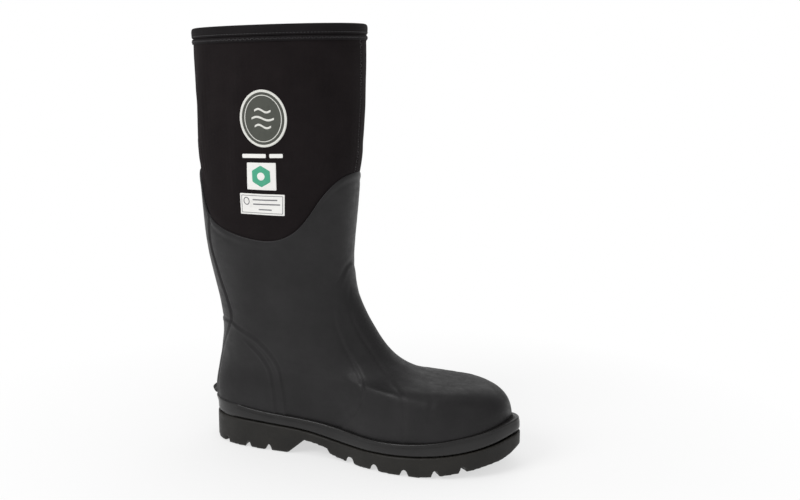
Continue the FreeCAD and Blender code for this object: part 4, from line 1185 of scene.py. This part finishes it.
# name bar: two plain strips
for i, (x0, x1) in enumerate(((59.2, 83.0), (86.4, 98.8))):
    z0, z1 = 287.5 + (x0 - 59) * .02, 287.5 + (x1 - 59) * .02
    o = patch("name_strip_%d" % (i + 1), rounded([(x0, z0 + 3.8), (x1, z1 + 3.8), (x1, z1), (x0, z0)], .9, 14), M_WHITE, .38, rings=3)
    add(o, "name_bar" if i == 0 else None)
SAFE = [(63.6, 283.4), (92.0, 283.6), (91.2, 257.8), (62.6, 258.2)]
add(patch("safety_square", rounded(SAFE, .9), M_WHITE, .45), "safety_label")
HEXA = [(77.4 + 10.4 * math.cos(math.radians(60 * i + 30)), 270.8 + 10.4 * math.sin(math.radians(60 * i + 30))) for i in range(6)]
add(patch("safety_hexagon", rounded(HEXA, 1.0, 14), M_GREEN, .68, rings=8), "safety_emblem")
add(patch("safety_dot", ellipse(77.4, 270.8, 4.0, 4.0, 60), M_WHITE, .85, rings=4), None)
INFO = [(54.4, 254.4), (98.8, 254.0), (97.8, 234.0), (53.2, 234.4)]
add(patch("info_plate", rounded(INFO, .8), M_WHITE, .45), "info_label")
def inset_box(b, d):
    return [(b[0][0] + d, b[0][1] - d), (b[1][0] - d, b[1][1] - d), (b[2][0] - d, b[2][1] + d), (b[3][0] + d, b[3][1] + d)]


add(patch("info_frame", rounded(inset_box(INFO, 1.5), .5, 30), M_GREY, .58, hole=rounded(inset_box(INFO, 2.05), .4, 30), rings=2), None)
for i, (zz, x0, x1) in enumerate([(249.2, 67, 92), (245.0, 67, 94.5), (239.8, 72, 86)]):
    add(patch("info_line_%d" % (i + 1), rounded([(x0, zz), (x1, zz - .05), (x1, zz - 1.25), (x0, zz - 1.2)], .3, 10), M_GREY, .6, rings=3), "info_label_lines" if i == 0 else None)
add(patch("info_disc", ellipse(60.8, 247.2, 3.2, 3.8, 60), M_GREY, .6, hole=ellipse(60.8, 247.2, 2.3, 2.9, 60), rings=2), None)

# flatlock stitches along the front and back seams of the neoprene
for nm, sm in (("front_seam_stitches", SEAM_F), ("back_seam_stitches", SEAM_B)):
    a = np.array(sm, float)
    s = np.concatenate([[0], np.cumsum(np.linalg.norm(np.diff(a, axis=0), axis=1))])
    t = np.arange(6, s[-1] - (10 if nm[0] == "f" else 6), 2.4)
    line3 = np.stack([np.interp(t, s, a[:, k]) for k in range(3)], -1)
    P_, N_, T_ = [], [], []
    for k, q in enumerate(line3):
        dirx = -1 if nm[0] == "f" else 1
        org = Vector(((q[0] - OX - dirx * 30) * .001, q[1] * .001, q[2] * .001))
        hit = NEO_BVH.ray_cast(org, Vector((dirx, 0, 0)), .09)
        if hit[0] is None:
            continue
        nn = np.array(hit[1])
        if nn[0] * dirx > 0:
            nn = -nn
        P_.append(np.array([hit[0].x * 1000 + OX, hit[0].y * 1000, hit[0].z * 1000]) + nn * .25)
        N_.append(nn)
        tz = np.array([0, 1.0, .55 if k % 2 else -.55])
        tz -= nn * (tz @ nn)
        T_.append(tz / np.linalg.norm(tz))
    o = stitches(nm, P_, N_, T_, 3.4, .24, M_THREAD)
    add(o, None)

# the shell, bootie and lining have their transforms applied to their meshes
for o in (shell, bootie, lining):
    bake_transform(o)


# ------------------------------------------------------------------ floor, light, camera
def floor():
    me = bpy.data.meshes.new("floor")
    n, r = 24, 90.0
    vs, fs = [], []
    for i in range(n + 1):
        for j in range(n + 1):
            vs.append((-r + 2 * r * i / n, -r + 2 * r * j / n, -.0006))
    for i in range(n):
        for j in range(n):
            a = i * (n + 1) + j
            fs.append((a, a + n + 1, a + n + 2, a + 1))
    me.from_pydata(vs, [], fs)
    o = bpy.data.objects.new("floor", me)
    SCN.collection.objects.link(o)
    m, nt, b, co = new_mat("floor_pale")
    nt.links.new(mix(nt, ramp(nt, noise(nt, co, 3, 2, .5), .3, .7, 0, 1), (.95, .95, .95), (.97, .97, .97)), b.inputs["Base Color"])
    b.inputs["Roughness"].default_value = .8
    b.inputs["Specular IOR Level"].default_value = .1
    # further out the floor runs into the white background
    far = node(nt, "ShaderNodeVectorMath")
    far.operation = "LENGTH"
    nt.links.new(node(nt, "ShaderNodeNewGeometry").outputs["Position"], far.inputs[0])
    glow = node(nt, "ShaderNodeEmission")
    blend_ = node(nt, "ShaderNodeMixShader")
    nt.links.new(ramp(nt, far.outputs["Value"], .10, .50, .60, 1), blend_.inputs[0])
    nt.links.new(b.outputs[0], blend_.inputs[1])
    nt.links.new(glow.outputs[0], blend_.inputs[2])
    # from below the floor is clear, so that the tread can be looked at
    under = node(nt, "ShaderNodeMixShader")
    nt.links.new(node(nt, "ShaderNodeNewGeometry").outputs["Backfacing"], under.inputs[0])
    nt.links.new(blend_.outputs[0], under.inputs[1])
    nt.links.new(node(nt, "ShaderNodeBsdfTransparent").outputs[0], under.inputs[2])
    out = next(k for k in nt.nodes if k.type == "OUTPUT_MATERIAL")
    nt.links.new(under.outputs[0], out.inputs["Surface"])
    me.materials.append(m)
    return o


floor()
world = bpy.data.worlds.new("world")
SCN.world = world
world.use_nodes = True
bg = world.node_tree.nodes.get("Background") or world.node_tree.nodes.new("ShaderNodeBackground")
bg.inputs[0].default_value = (1, 1, 1, 1)
bg.inputs[1].default_value = .95
# white behind the boot, softer where the world only lights or is mirrored
lp = world.node_tree.nodes.new("ShaderNodeLightPath")
gl = world.node_tree.nodes.new("ShaderNodeMapRange")
gl.inputs["To Min"].default_value, gl.inputs["To Max"].default_value = .52, .34
mr = world.node_tree.nodes.new("ShaderNodeMapRange")
mr.inputs["To Max"].default_value = 1.0
world.node_tree.links.new(lp.outputs["Is Glossy Ray"], gl.inputs["Value"])
world.node_tree.links.new(lp.outputs["Is Camera Ray"], mr.inputs["Value"])
world.node_tree.links.new(gl.outputs[0], mr.inputs["To Min"])
world.node_tree.links.new(mr.outputs[0], bg.inputs[1])


def area(name, loc, target, size, power, col=(1, 1, 1)):
    d = bpy.data.lights.new(name, "AREA")
    d.energy, d.size, d.color = power, size, col
    o = bpy.data.objects.new(name, d)
    o.location = loc
    o.rotation_euler = (Vector(target) - Vector(loc)).to_track_quat("-Z", "Y").to_euler()
    SCN.collection.objects.link(o)
    return o


area("key", (-.9, -1.6, 1.5), (0, 0, .18), 1.1, 22)
area("fill", (1.5, -1.1, 1.0), (0, 0, .15), 1.3, 3)
area("top", (-.1, .0, 1.7), (0, 0, .1), 1.2, 4)
area("back", (.1, 1.6, 1.0), (0, 0, .2), 1.2, 3)

az, pitch, roll = math.radians(20.1027), math.radians(9.8415), math.radians(.1317)
fwd = Vector((-math.sin(az) * math.cos(pitch), math.cos(az) * math.cos(pitch), -math.sin(pitch)))
right = fwd.cross(Vector((0, 0, 1))).normalized()
up = right.cross(fwd)
r2 = right * math.cos(roll) + up * math.sin(roll)
u2 = up * math.cos(roll) - right * math.sin(roll)
cd = bpy.data.cameras.new("camera")
cd.lens, cd.sensor_width, cd.sensor_fit = 1100 * 36 / 800, 36, "HORIZONTAL"
cam = bpy.data.objects.new("camera", cd)
cam.matrix_world = Matrix(((r2.x, u2.x, -fwd.x, (546.8476 - OX) * .001), (r2.y, u2.y, -fwd.y, -.962195), (r2.z, u2.z, -fwd.z, .377966), (0, 0, 0, 1)))
SCN.collection.objects.link(cam)
SCN.camera = cam
SCN.view_settings.view_transform = "Standard"
